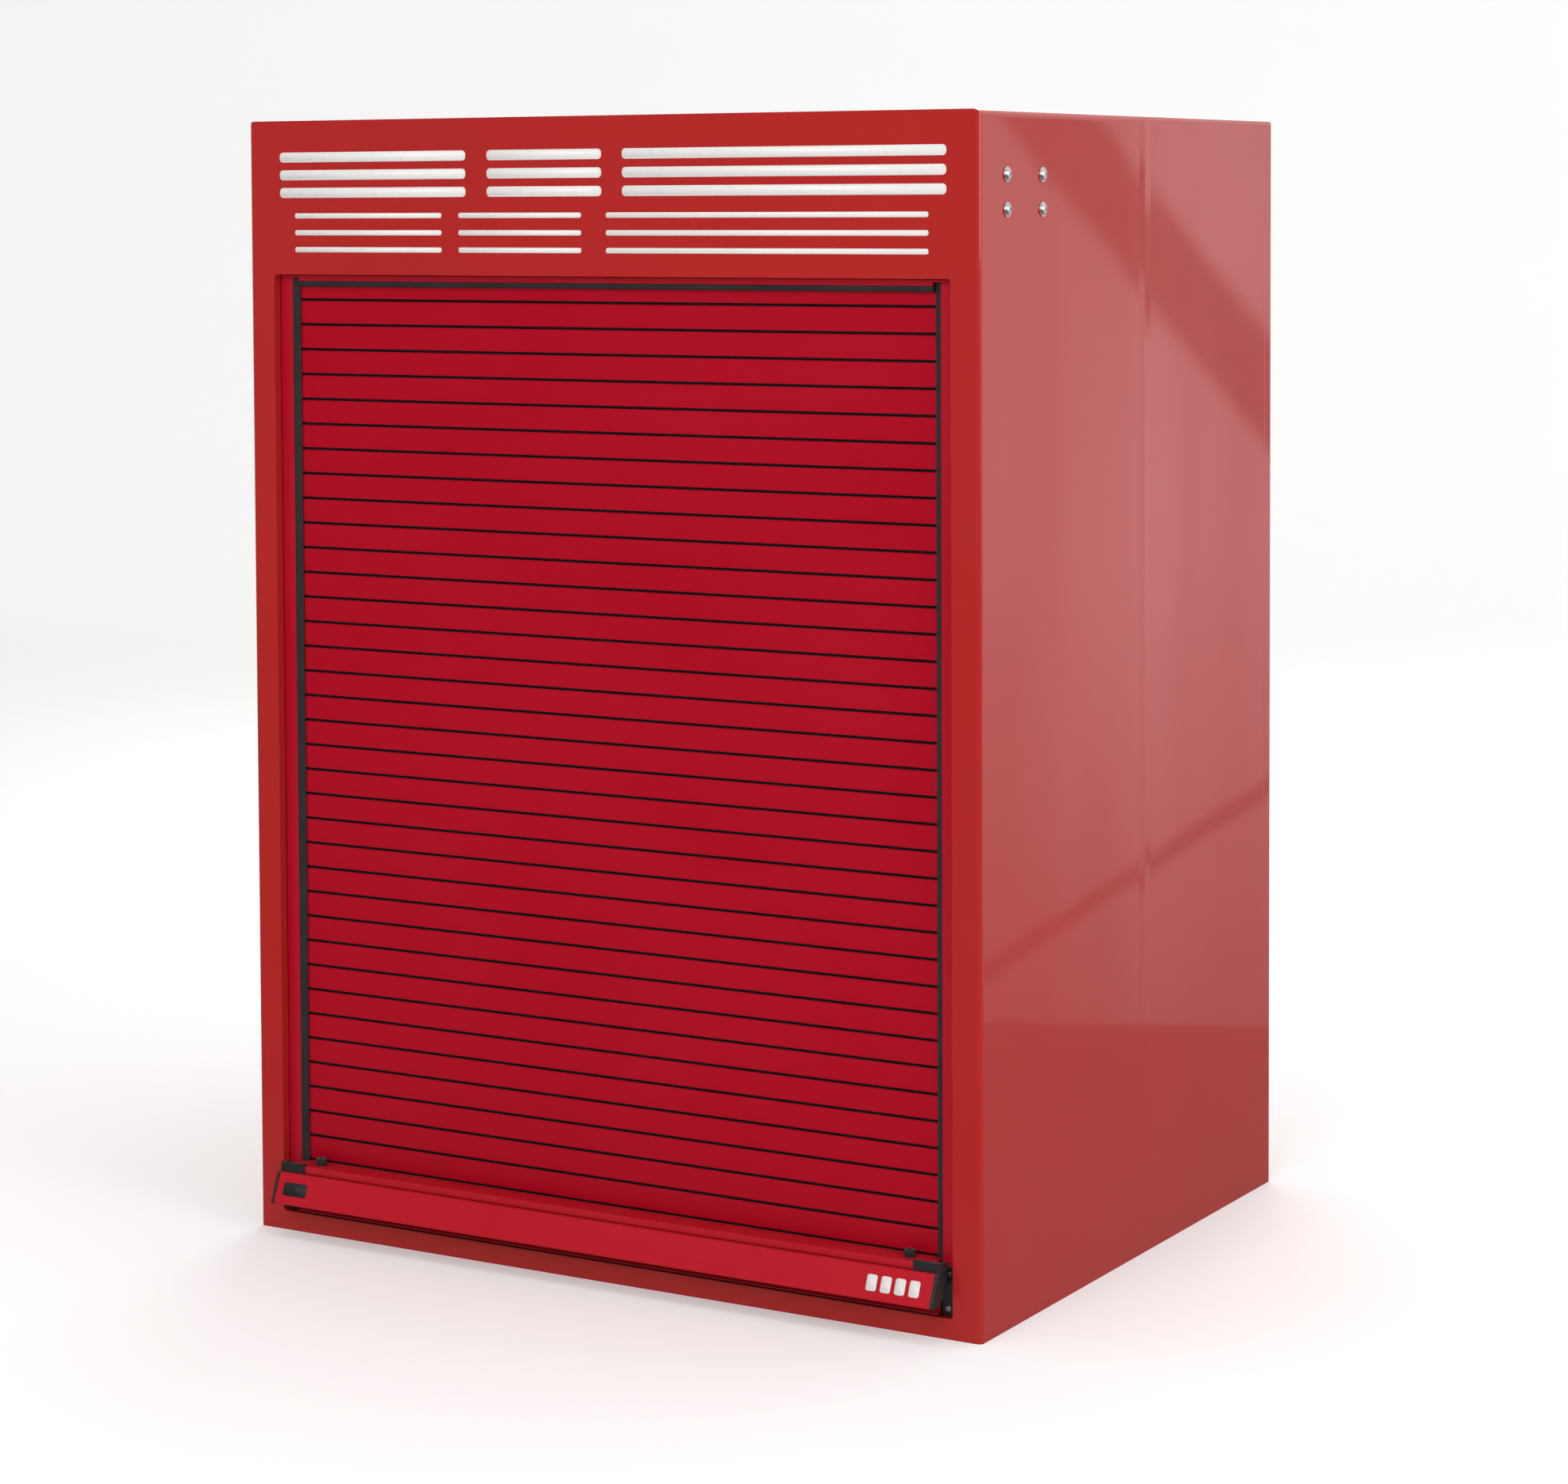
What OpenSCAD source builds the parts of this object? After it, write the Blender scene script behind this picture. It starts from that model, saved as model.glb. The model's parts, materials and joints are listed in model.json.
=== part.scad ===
// Roller-shutter cabinet holding a wheeled foam extinguisher.
// Frame: origin on the floor under the middle of the cabinet, +X right, +Y to the back, +Z up. Millimetres.
// Most cabinet parts are drawn inside at_front(), where Y is the depth behind the cabinet's front face.

/* [Cabinet] */
// Width of the cabinet
cab_w = 1030; // [1000:1:1100]
// Depth of the cabinet
cab_d = 830; // [800:1:900]
// Height of the cabinet
cab_h = 1400; // [1400:1:1460]
// Thickness of the panels
sheet = 2; // [1.5:0.5:3]
// Radius of the roof's edges
roof_r = 8; // [6:0.5:12]
// Radius of the front upright edges
edge_r = 6; // [4:0.5:8]
// Width of the stile on each side of the doorway
stile = 37; // [36:0.5:44]
// Height of the sill under the doorway
sill = 24; // [24:1:28]
// Height of the doorway's top edge
door_top = 1209; // [1206:1:1210]

/* [Shutter] */
// Spacing of the slats
pitch = 31.1; // [31:0.1:32]
// Number of slats, from the bottom rail to the drum
slat_count = 37; // [36:1:38]
// Number of slats that stay straight when the shutter is open
straight_slats = 3; // [2:1:3]
// Thickness of a slat
slat_t = 8.5; // [8:0.1:9]
// Outer radius of the drum
drum_r = 45; // [40:1:48]
// Radius of the fixed shaft through the drum
shaft_r = 10; // [8:0.5:12]

/* [Wheeled unit] */
// Outer radius of the tank
tank_r = 155; // [150:1:160]
// Radius of the tyres
tyre_r = 170; // [160:1:175]
// Radius of the trolley's tube
tube_r = 13; // [12:0.5:14]
// Radius of the axle
axle_r = 10; // [9:0.5:11]
// Radius of the hose
hose_r = 11; // [10:0.5:12]
// Number of turns in the coiled hose
hose_turns = 4; // [3:1:4]

/* [Hidden] */
$fn = 48;

eps = 0.1;                  // overshoot of a cutting tool
run_gap = 0.05;             // radial clearance of a turning fit

// Colours
red = [0.70, 0.05, 0.06];
bright_red = [0.78, 0.06, 0.08];
black = [0.06, 0.06, 0.06];
zinc = [0.75, 0.77, 0.78];
brass = [0.78, 0.62, 0.28];

// Cabinet
front_y = -cab_d / 2;
seam_y = edge_r;            // depth of the seam between the fascia and the side panels
back_flange = 24;           // width of the band that the back panel folds round the sides
door_w = cab_w - 2 * stile;
door_r = 4;                 // radius of the doorway's corners
return_d = 12.5;            // depth of the fascia's return into the doorway
floor_z = sill;             // top of the floor pan
stiffener_y = 22;           // middle of the side panels' stiffeners
anchor_x = 430;             // half spacing of the floor anchors
anchor_y = 340;
anchor_r = 6.5;

// Shutter, as depths behind the front face and as distances from the cabinet's side
slat_y = 19.4;
slat_back = slat_y + slat_t;
slat_in = 52;               // distance from the cabinet's side to a slat's end
cap_in = 46.5;              // distance from the cabinet's side to a nylon end cap
front_part_in = 58;         // bottom rail parts that pass in front of the guide rails
bridge_in = 67;             // bottom rail parts that pass between the side seals
bar_in = 44.3;
first_line = 87.5;          // height of the lowest gasket line
gasket_h = 3.0;
slat_len = cab_w - 2 * slat_in;
rail_flange_y = 12.9;       // depth of the guide rails' front flange
rail_w = 19;                // width of that flange
rail_back = 34;
rail_top = 1215;
drum_y = 112;
drum_z = 1307;
bolt_dy = 90;               // spacing of the drum bracket's bolts
bolt_dz = 40;
drum_len = cab_w - 126;
pivot_y = -2;               // lift bar's pivot
pivot_z = 83;
pivot_r = 3;

// Wheeled unit
unit_y = -30;               // the tank's axis
tank_foot = floor_z + 76;   // underside of the tank
tank_top = 880;
dome_h = 62;
axle_z = floor_z + 0.5 + tyre_r;
wheel_x = 222;              // middle of each wheel
tyre_w = 46;
frame_x = 112;
frame_y = unit_y + tank_r + 22;
axle_y = frame_y + tube_r + axle_r + 5;
handle_z = 1052;
handle_y = frame_y + 105;
neck_r = 24;
valve_z = tank_top + 14;    // underside of the valve body
coil_r = 150;
coil_z = 640;
coil_x = tank_r + 50;       // inner end of the hose coil, on the left of the tank
coil_pitch = 24;
branch_x = tank_r + 57;     // the branch pipe's axis, on the right of the tank
branch_y = unit_y - 20;
branch_foot = 420;

// ---------- helpers ----------

module at_front() translate([0, front_y, 0]) children();

// Extrudes a (depth, height) profile along X, centred
module along_x(length) rotate([90, 0, 90]) linear_extrude(length, center = true) children();

// Extrudes an (x, height) profile back along Y from 0
module along_y(length) translate([0, length, 0]) rotate([90, 0, 0]) linear_extrude(length) children();

// A rectangle with true round corners, centred
module round_rect(w, h, r) {
    square([w - 2 * r, h], center = true);
    square([w, h - 2 * r], center = true);
    for (x = [-1, 1], y = [-1, 1]) translate([x * (w / 2 - r), y * (h / 2 - r)]) circle(r);
}

module both_sides() for (s = [-1, 1]) scale_x(s) children();
module scale_x(s) if (s < 0) mirror([1, 0, 0]) children(); else children();

module rod_x(r, length) rotate([0, 90, 0]) cylinder(r = r, h = length, center = true);
module rod_y(r, length) rotate([-90, 0, 0]) cylinder(r = r, h = length);

function unit3(v) = v / norm(v);
function tangent(p, i) = unit3(p[min(i + 1, len(p) - 1)] - p[max(i - 1, 0)]);

// Point at share s of a smooth curve from p to q, leaving p along u and reaching q along v
function curve(p, u, q, v, s) =
    (2 * s * s * s - 3 * s * s + 1) * p + (s * s * s - 2 * s * s + s) * u
    + (3 * s * s - 2 * s * s * s) * q + (s * s * s - s * s) * v;

// A tube of radius r swept through points; ups holds a direction near no tangent for each point
module sweep(points, ups, r, sides) {
    n = len(points);
    rings = [for (i = [0:n - 1]) let (t = tangent(points, i), u = unit3(cross(t, ups[i])), v = cross(t, u))
        for (k = [0:sides - 1]) points[i] + r * (cos(360 * k / sides) * u + sin(360 * k / sides) * v)];
    walls = [for (i = [0:n - 2], k = [0:sides - 1], half = [0, 1])
        let (j = (k + 1) % sides, low = i * sides, high = low + sides)
        half == 0 ? [low + k, low + j, high + j] : [low + k, high + j, high + k]];
    start = [for (k = [sides - 1:-1:0]) k];
    end = [for (k = [0:sides - 1]) (n - 1) * sides + k];
    polyhedron(rings, concat(walls, [start, end]), convexity = 8);
}

// ---------- cabinet ----------

// The cabinet's outer form, inset by g on every face but the floor
module cabinet_form(g) {
    intersection() {
        translate([0, 0, -g]) linear_extrude(cab_h) round_rect(cab_w - 2 * g, cab_d - 2 * g, edge_r - g);
        translate([0, front_y - eps, 0]) along_y(cab_d + 2 * eps)
            translate([0, cab_h / 2 - g - 50]) round_rect(cab_w - 2 * g, cab_h + 100, roof_r - g);
    }
}

module front_fascia() color(red) at_front() {
    difference() {
        translate([0, -front_y, 0]) cabinet_form(0);
        translate([0, -front_y, 0]) cabinet_form(sheet);
        translate([-cab_w, seam_y, -cab_h]) cube([2 * cab_w, 2 * cab_d, 3 * cab_h]);
        translate([0, -eps, (door_top + sill) / 2]) along_y(sheet + 2 * eps)
            round_rect(door_w, door_top - sill, door_r);
    }
    translate([0, sheet, (door_top + sill) / 2]) along_y(return_d - sheet) difference() {
        round_rect(door_w + 2 * sheet, door_top - sill + 2 * sheet, door_r + sheet);
        round_rect(door_w, door_top - sill, door_r);
    }
}

// The four drum bracket bolts pass through each side panel
module bracket_holes(r, x, depth)
    for (dy = [-1, 1], dz = [-1, 1])
        translate([x, front_y + drum_y + dy * bolt_dy / 2, drum_z + dz * bolt_dz / 2]) rod_x(r, depth);

module side_panel() color(red) difference() {
    translate([cab_w / 2 - sheet, front_y + seam_y, 0])
        cube([sheet, cab_d - seam_y - back_flange, cab_h - roof_r]);
    bracket_holes(4.2, cab_w / 2, 4 * sheet);
}
module right_side_panel() side_panel();
module left_side_panel() mirror([1, 0, 0]) side_panel();

// Top-hat stiffener bonded inside each side panel
module side_stiffeners() color(zinc) both_sides()
    translate([cab_w / 2 - sheet - 0.02, stiffener_y, floor_z + 4])
        linear_extrude(cab_h - floor_z - roof_r - 8) polygon([
            [0, -34], [0, -16], [-16, -12], [-16, 12], [0, 16], [0, 34], [-1.5, 34], [-1.5, 17.2],
            [-17.5, 13], [-17.5, -13], [-1.5, -17.2], [-1.5, -34]
        ]);

module roof_panel() color(red) translate([0, front_y + seam_y, 0])
    along_y(cab_d - seam_y - back_flange) difference() {
        translate([0, cab_h - 50]) round_rect(cab_w, 100, roof_r);
        translate([0, cab_h - 50 - sheet]) round_rect(cab_w - 2 * sheet, 100, roof_r - sheet);
        translate([-cab_w, cab_h - roof_r - 200]) square([2 * cab_w, 200]);
    }

module back_panel() color(red) difference() {
    cabinet_form(0);
    cabinet_form(sheet);
    translate([-cab_w, -cab_d - back_flange, -cab_h]) cube([2 * cab_w, 1.5 * cab_d, 3 * cab_h]);
}

module anchor_holes(height)
    for (x = [-anchor_x, anchor_x], y = [-anchor_y, anchor_y])
        translate([x, y, -eps]) cylinder(r = anchor_r, h = height + 2 * eps);

// A pressed floor with a turned-down rim, standing on the bearers clear of the back panel's corners
module floor_pan() color(zinc) difference() {
    pan_w = cab_w - 2 * sheet - 1;
    pan_front = front_y + return_d + 0.5;
    pan_back = -front_y - sheet - 2.2;
    translate([-pan_w / 2, pan_front, 0]) cube([pan_w, pan_back - pan_front, floor_z]);
    translate([-pan_w / 2 + sheet, pan_front + sheet, -eps])
        cube([pan_w - 2 * sheet, pan_back - pan_front - 2 * sheet, floor_z - sheet + eps]);
    anchor_holes(floor_z);
}

// Three top-hat bearers under the floor pan
module floor_bearers() color(zinc) difference() {
    for (y = [-anchor_y, 0, anchor_y]) translate([-cab_w / 2 + 12, y - 30, 0]) difference() {
        cube([cab_w - 24, 60, floor_z - sheet]);
        translate([-eps, 4, -eps]) cube([cab_w - 24 + 2 * eps, 14, floor_z - sheet - 3]);
        translate([-eps, 42, -eps]) cube([cab_w - 24 + 2 * eps, 14, floor_z - sheet - 3]);
    }
    anchor_holes(floor_z);
}

// ---------- guide rails and seals ----------

screw_zs = [sill + 9, sill + 48];
screw_in = 46.5;

// Channel with a front flange that carries the side seal, drawn for the left side
module guide_rail() color(bright_red) at_front() difference() {
    x0 = -cab_w / 2 + stile;
    union() {
        translate([x0 + 0.2, 0, sill + 0.3]) linear_extrude(rail_top - sill) union() {
            translate([0, rail_flange_y]) square([rail_w, sheet]);
            translate([0, rail_flange_y]) square([sheet, rail_back - rail_flange_y]);
            translate([0, rail_back - sheet]) square([rail_w + 9, sheet]);
            translate([rail_w - 5, rail_flange_y + sheet]) square([1.2, 2.4]);
        }
    }
    for (z = screw_zs) translate([-cab_w / 2 + screw_in, rail_flange_y - eps, z]) rod_y(2.1, sheet + 2 * eps);
}
module guide_rail_left() guide_rail();
module guide_rail_right() mirror([1, 0, 0]) guide_rail();

// Black lip between the rail's flange and the slats
module side_seals() color(black) at_front() both_sides()
    translate([-cab_w / 2, 0, sill + 1]) linear_extrude(rail_top - sill - 2) polygon([
        [stile + rail_w - 3.4, rail_flange_y + sheet + 0.1],
        [stile + rail_w + 0.3, rail_flange_y + sheet + 0.1],
        [stile + rail_w + 0.3, rail_flange_y], [stile + rail_w + 2.3, rail_flange_y],
        [stile + rail_w + 9, slat_y - 2], [stile + rail_w + 8.6, slat_y - 1.2],
        [stile + rail_w + 1.6, slat_y - 1.8], [stile + rail_w - 3.4, slat_y - 2]
    ]);

// Trim strip under the header: a lip just below the doorway's top edge, then a band and a fixing flange between
// the side seals
module header_profile() color(bright_red) at_front() {
    lip_y = return_d - 4;
    lip_z = door_top - 3.7;
    along_x(door_w - 9) union() {
        translate([lip_y, lip_z]) square([4, 1.4]);
        translate([lip_y, lip_z]) square([1.2, 2.9]);
    }
    along_x(cab_w - 2 * (stile + rail_w + 10)) union() {
        translate([lip_y + 3, lip_z]) square([3.3, 1.4]);
        translate([lip_y + 3, lip_z - 4.5]) square([1.4, 4.6]);
        translate([return_d + 0.3, lip_z]) square([sheet, 40]);
    }
}

// Drip lip that hangs below the trim strip and brushes past the slats
module header_seal() color(black) at_front() along_x(cab_w - 2 * (stile + rail_w + 9.6)) {
    stem = return_d + sheet + 0.5;
    top = door_top - 8.6;
    polygon([
        [stem, door_top + 20], [stem, top], [return_d - 1.5, top], [return_d - 1.5, top - 4.8],
        [slat_y - 2.6, top - 6.7], [slat_y - 1.1, top - 6.7], [slat_y - 1.1, top + 2], [stem + 1.5, top + 4],
        [stem + 1.5, door_top + 20]
    ]);
}

// Plastic catch on each rail's flange, with a ramp and a ridge for the lift bar's latch
module latch_strikers() color(black) at_front() both_sides() difference() {
    translate([-cab_w / 2 + stile + 0.6, 0, 0]) union() {
        translate([0, rail_flange_y - 3.6, sill + 2]) cube([rail_w - 2, 3.5, 55]);
        rotate([90, 0, 90]) linear_extrude(rail_w - 2) polygon([
            [rail_flange_y - 3.6, sill + 17], [rail_flange_y - 3.6, sill + 41],
            [rail_flange_y - 8.2, sill + 41], [rail_flange_y - 8.2, sill + 38]
        ]);
    }
    for (z = screw_zs) translate([-cab_w / 2 + screw_in, 0, z]) rod_y(2.1, rail_flange_y + sheet);
}

module striker_screws() color(zinc) at_front() both_sides()
    for (z = screw_zs) translate([-cab_w / 2 + screw_in, 0, z]) difference() {
        union() {
            translate([0, rail_flange_y - 5.2, 0]) rod_y(3.2, 1.5);
            translate([0, rail_flange_y - 4, 0]) rod_y(2, 8);
        }
        translate([0, rail_flange_y - 5.3, 0]) rod_y(1.4, 0.9, $fn = 6);
    }

// ---------- drum ----------

module at_drum() translate([0, front_y + drum_y, drum_z]) children();

// Pressed plate with a saddle for the shaft
module drum_brackets() color(zinc) both_sides() {
    plate_x = cab_w / 2 - sheet - 0.05;
    difference() {
        at_drum() union() {
            translate([plate_x - 4, -bolt_dy / 2 - 14, -bolt_dz / 2 - 13])
                cube([4, bolt_dy + 28, bolt_dz + 26]);
            translate([plate_x - 30, 0, 0]) rod_x(shaft_r + 6, 52);
        }
        bracket_holes(4.2, plate_x, 20);
        at_drum() translate([plate_x - 34, 0, 0]) rod_x(shaft_r + run_gap, 60);
    }
}

// Flanged button-head bolts outside the side panels
module bracket_bolts() color(zinc) both_sides()
    for (dy = [-1, 1], dz = [-1, 1]) at_drum()
        translate([cab_w / 2 + 0.02, dy * bolt_dy / 2, dz * bolt_dz / 2]) rotate([0, 90, 0]) difference() {
            union() {
                cylinder(r = 8.8, h = 1.3);
                intersection() {
                    translate([0, 0, -4]) sphere(r = 9.3);
                    cylinder(r = 7, h = 6);
                }
                translate([0, 0, -14]) cylinder(r = 4, h = 15);
            }
            translate([0, 0, 3.2]) cylinder(r = 2.6, h = 4, $fn = 6);
        }

module bracket_nuts() color(zinc) both_sides()
    for (dy = [-1, 1], dz = [-1, 1]) at_drum()
        translate([cab_w / 2 - sheet - 4.2, dy * bolt_dy / 2, dz * bolt_dz / 2]) rotate([0, -90, 0])
            difference() {
                cylinder(r = 7.5, h = 6.5, $fn = 6);
                translate([0, 0, -eps]) cylinder(r = 4.05, h = 7);
            }

spring_half = 150;

// Shaft with two collars that hold the ends of the spring
module drum_shaft() color(zinc) at_drum() {
    rod_x(shaft_r, cab_w - 2 * sheet - 14);
    both_sides() translate([spring_half + 6, 0, 0]) rod_x(27, 12);
}

// Torsion spring round the shaft, wound along X
module counterbalance_spring() color(zinc) at_drum() {
    turns = 14;
    reach = spring_half - 3;
    points = [for (a = [0:20:360 * turns])
        [-reach + 2 * reach * a / (360 * turns), 22 * cos(a), 22 * sin(a)]];
    sweep(points, [for (p = points) [1, 0, 0]], 2.5, 6);
}

module drum_tube() color(zinc) at_drum() difference() {
    rod_x(drum_r, drum_len);
    rod_x(drum_r - 2.5, drum_len + 2 * eps);
}

// Flanged plugs that close the drum's ends and carry its bushes
module drum_plugs() color(black) at_drum() both_sides() difference() {
    union() {
        translate([drum_len / 2 - 10, 0, 0]) rod_x(drum_r - 2.6, 24);
        translate([drum_len / 2 + 2, 0, 0]) rod_x(drum_r + 4, 3.9);
    }
    translate([drum_len / 2 - 10, 0, 0]) rod_x(shaft_r + 4, 60);
}

module drum_bushes() color(brass) at_drum() both_sides() difference() {
    translate([drum_len / 2 - 9, 0, 0]) rod_x(shaft_r + 4 - 0.02, 26);
    translate([drum_len / 2 - 9, 0, 0]) rod_x(shaft_r + run_gap, 60);
}

// ---------- curtain ----------

// Hollow slat section: the tongue on top hooks into the pocket under the slat above
module slat_section() {
    crown = 0.15;
    body_h = pitch - gasket_h;
    difference() {
        union() {
            polygon([
                [0.5, gasket_h], [0, gasket_h + 0.7], [-crown, gasket_h + body_h / 2],
                [0, pitch - 1.1], [0.9, pitch], [slat_t - 1, pitch], [slat_t, pitch - 1],
                [slat_t, gasket_h + 1], [slat_t - 1, gasket_h]
            ]);
            translate([4, pitch - eps]) square([1.4, 4.2 + eps]);
            translate([4.7, pitch + 4.2]) circle(1.3, $fn = 24);
        }
        translate([1.4, gasket_h + 7]) square([slat_t - 2.8, pitch - gasket_h - 9]);
        translate([2.2, gasket_h - eps]) square([5, 4.6]);
    }
}

module slats(from, to) color(bright_red) at_front()
    for (k = [from:to]) translate([0, slat_y, first_line + k * pitch]) along_x(slat_len) slat_section();

// Black strip in the gap under each slat, split round the tongue of the slat below
module gaskets(from, to) color(black) at_front()
    for (k = [from:to]) translate([0, slat_y, first_line + k * pitch]) along_x(slat_len) union() {
        translate([0.35, 0.1]) square([3, gasket_h - 0.2]);
        translate([6, 0.1]) square([slat_t - 7, gasket_h - 0.2]);
    }

// Nylon glides that hold the slats' ends in the rails
module end_caps(from, to) color(black) at_front() both_sides()
    for (k = [from:to])
        translate([-cab_w / 2 + cap_in, slat_y - 0.4, first_line + k * pitch + gasket_h + 1])
            cube([slat_in - cap_in - 0.1, slat_t + 0.8, pitch - gasket_h - 2]);

module lower_slats() slats(0, straight_slats - 1);
module upper_slats() slats(straight_slats, slat_count - 1);
module lower_gaskets() gaskets(0, straight_slats - 1);
module upper_gaskets() gaskets(straight_slats, slat_count - 1);
module lower_end_caps() end_caps(0, straight_slats - 1);
module upper_end_caps() end_caps(straight_slats, slat_count - 1);

// Webbing from the top slat to the front of the drum, tangent to it
module curtain_straps() color(black) at_front() {
    start = [slat_y + slat_t / 2, first_line + slat_count * pitch + 6.6];
    to_axis = [drum_y, drum_z] - start;
    reach = norm(to_axis);
    lean = atan2(to_axis[1], to_axis[0]) + asin((drum_r + 1.6) / reach);
    for (x = [-330, 0, 330]) translate([x, start[0], start[1]]) rotate([lean - 90, 0, 0])
        translate([-20, -0.75, 0]) cube([40, 1.5, sqrt(reach * reach - pow(drum_r + 1.6, 2))]);
}

// ---------- bottom rail and lift bar ----------

bar_t = 2.4;
cap_len = 36;
cap_in_x = cab_w / 2 - bar_in - cap_len;    // inner end of the lift bar's end blocks

// Extrusion under the curtain: a box in the slats' plane, a shelf that runs forward over the lift bar's
// pivots, and a web with a lip that passes in front of the guide rails
module bottom_rail() color(bright_red) at_front() difference() {
    union() {
        along_x(slat_len) translate([slat_y, 0]) union() {
            difference() {
                translate([0, sill + 1.6]) square([slat_t, first_line - sill - 1.6]);
                translate([2, sill + 3.6]) square([slat_t - 4, first_line - sill - 10]);
            }
            translate([4, first_line - eps]) square([1.4, 4.2 + eps]);
            translate([4.7, first_line + 4.2]) circle(1.3, $fn = 24);
        }
        along_x(cab_w - 2 * bridge_in) union() {
            translate([11, first_line - 1.4]) square([slat_y - 10.7, 2]);
            translate([11, 40]) square([slat_y - 10, 2]);
        }
        along_x(cab_w - 2 * front_part_in) union() {
            translate([-6, first_line - 1.4]) square([18, 2]);
            translate([10, sill + 6]) square([2, first_line - sill - 6]);
            polygon([
                [12, 37], [10.2, 37], [7, 34.6], [7.6, 32.6], [10, 31.6], [8.4, 28.6], [2.8, 26.8],
                [2.4, sill + 1.6], [12, sill + 1.6]
            ]);
        }
        along_x(2 * cap_in_x - 0.6) union() {
            translate([-13.5, first_line - 1.4]) square([9, 2]);
            translate([-13.5, 79.4]) square([2, 9]);
        }
        both_sides() translate([-cab_w / 2 + front_part_in, -6, 77.4]) cube([18, 8, first_line - 77.4]);
    }
    both_sides() translate([-cab_w / 2 + front_part_in + 9, pivot_y, pivot_z]) rod_x(pivot_r + run_gap, 19);
}

module bottom_seal() color(black) at_front() along_x(cab_w - 2 * (front_part_in + 10)) union() {
    translate([3, sill + 0.1]) square([8, 1.4]);
    translate([slat_y + 1, sill + 0.1]) square([slat_t - 2, 1.4]);
}

// Rubber knobs on the shelf that meet the doorway's top edge
module bump_stops() color(black) at_front() both_sides()
    translate([-cab_w / 2 + 94, 3.4, first_line + 0.62]) difference() {
        union() {
            cylinder(r = 6.2, h = 3);
            translate([0, 0, 3]) cylinder(r1 = 7.2, r2 = 6.6, h = 5.6);
        }
        translate([0, 0, 6]) cylinder(r = 3, h = 4);
    }

// Pull bar that stands proud of the cabinet and leans outward at its lower edge
module lift_bar() color(bright_red) at_front() along_x(cab_w - 2 * bar_in - 8.4) polygon([
    [-15, 79], [-21, 79], [-22, 77.8], [-35.4, 44.6], [-34.8, 42.6], [-31, 42.2], [-31, 44.2],
    [-32.9, 44.8], [-20, 79 - bar_t], [-15, 79 - bar_t]
]);

// Black end piece: a side plate, a block that covers the end of the rail's shelf, and the latch's nose
module lift_bar_end_caps() color(black) at_front() both_sides() difference() {
    union() {
        translate([-cab_w / 2 + bar_in + 2, 0, 0]) along_x(4) polygon([
            [-14.4, 90.4], [0, 89.6], [2, 87.6], [2, 62], [-17.5, 42], [-35, 42], [-36, 44.4], [-22.4, 78.2],
            [-21.4, 79.4], [-15.2, 79.4]
        ]);
        translate([-cab_w / 2 + bar_in + cap_len / 2, 0, 0]) along_x(cap_len)
            polygon([[-9, 90.4], [-14.4, 90.4], [-15.2, 79.2], [-9, 79.2]]);
        translate([-cab_w / 2 + bar_in, 1.9, 66]) cube([4, 2.2, 9]);
    }
    translate([-cab_w / 2 + bar_in + 2, pivot_y, pivot_z]) rod_x(pivot_r + 0.02, 6);
}

module lift_bar_pins() color(zinc) at_front() both_sides()
    translate([-cab_w / 2 + bar_in + 14.5, pivot_y, pivot_z]) rod_x(pivot_r, 28);

// ---------- wheeled unit: tank and trolley ----------

module at_tank() translate([0, unit_y, 0]) children();

// Half outline of the tank: cylinder with elliptical domes
function dome(r, h, steps) = [for (i = [0:steps]) [r * cos(90 * i / steps), h * sin(90 * i / steps)]];
function tank_outline(r, foot, top) = concat(
    [for (p = dome(r, dome_h, 16)) [max(p[0], 0), top - dome_h + p[1]]],
    [for (i = [16:-1:0]) let (p = dome(r, dome_h, 16)[i]) [max(p[0], 0), foot + dome_h - p[1]]]
);

module tank() color(red) at_tank() difference() {
    union() {
        rotate_extrude($fn = 96) polygon(tank_outline(tank_r, tank_foot, tank_top));
        translate([0, 0, tank_foot - 49]) difference() {
            cylinder(r = tank_r - 22, h = 82);
            translate([0, 0, -eps]) cylinder(r = tank_r - 25, h = 83);
        }
        translate([0, 0, tank_top - 6]) cylinder(r = neck_r, h = 20);
    }
    rotate_extrude($fn = 96) polygon(tank_outline(tank_r - 3, tank_foot + 3, tank_top - 3));
    translate([0, 0, tank_top - 20]) cylinder(r = neck_r - 6, h = 60);
}

module dip_tube() color([0.85, 0.85, 0.8]) at_tank() translate([0, 0, tank_foot + 14]) difference() {
    cylinder(r = 11, h = valve_z - tank_foot - 6);
    translate([0, 0, -eps]) cylinder(r = 9, h = 900);
}

skid_z = floor_z + 0.6 + tube_r;
skid_y = unit_y - 165;
foot_bend = 90;
knee_z = handle_z - 120;

// One side of the trolley: front skid, bend, upright and raked handle arm
module frame_side() {
    arm = [handle_y - frame_y, handle_z - knee_z];
    translate([frame_x, skid_y, skid_z]) rod_y(tube_r, frame_y - foot_bend - skid_y);
    translate([frame_x, skid_y - 4, skid_z]) rod_y(tube_r - 0.5, 6);
    translate([frame_x, frame_y - foot_bend, skid_z + foot_bend]) rotate([0, 90, 0])
        rotate_extrude(angle = 90) translate([foot_bend, 0]) circle(tube_r);
    translate([frame_x, frame_y, skid_z + foot_bend]) cylinder(r = tube_r, h = knee_z - skid_z - foot_bend);
    translate([frame_x, frame_y, knee_z]) sphere(tube_r + 0.6);
    translate([frame_x, frame_y, knee_z]) rotate([-atan2(arm[0], arm[1]), 0, 0])
        cylinder(r = tube_r, h = norm(arm));
}

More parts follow.
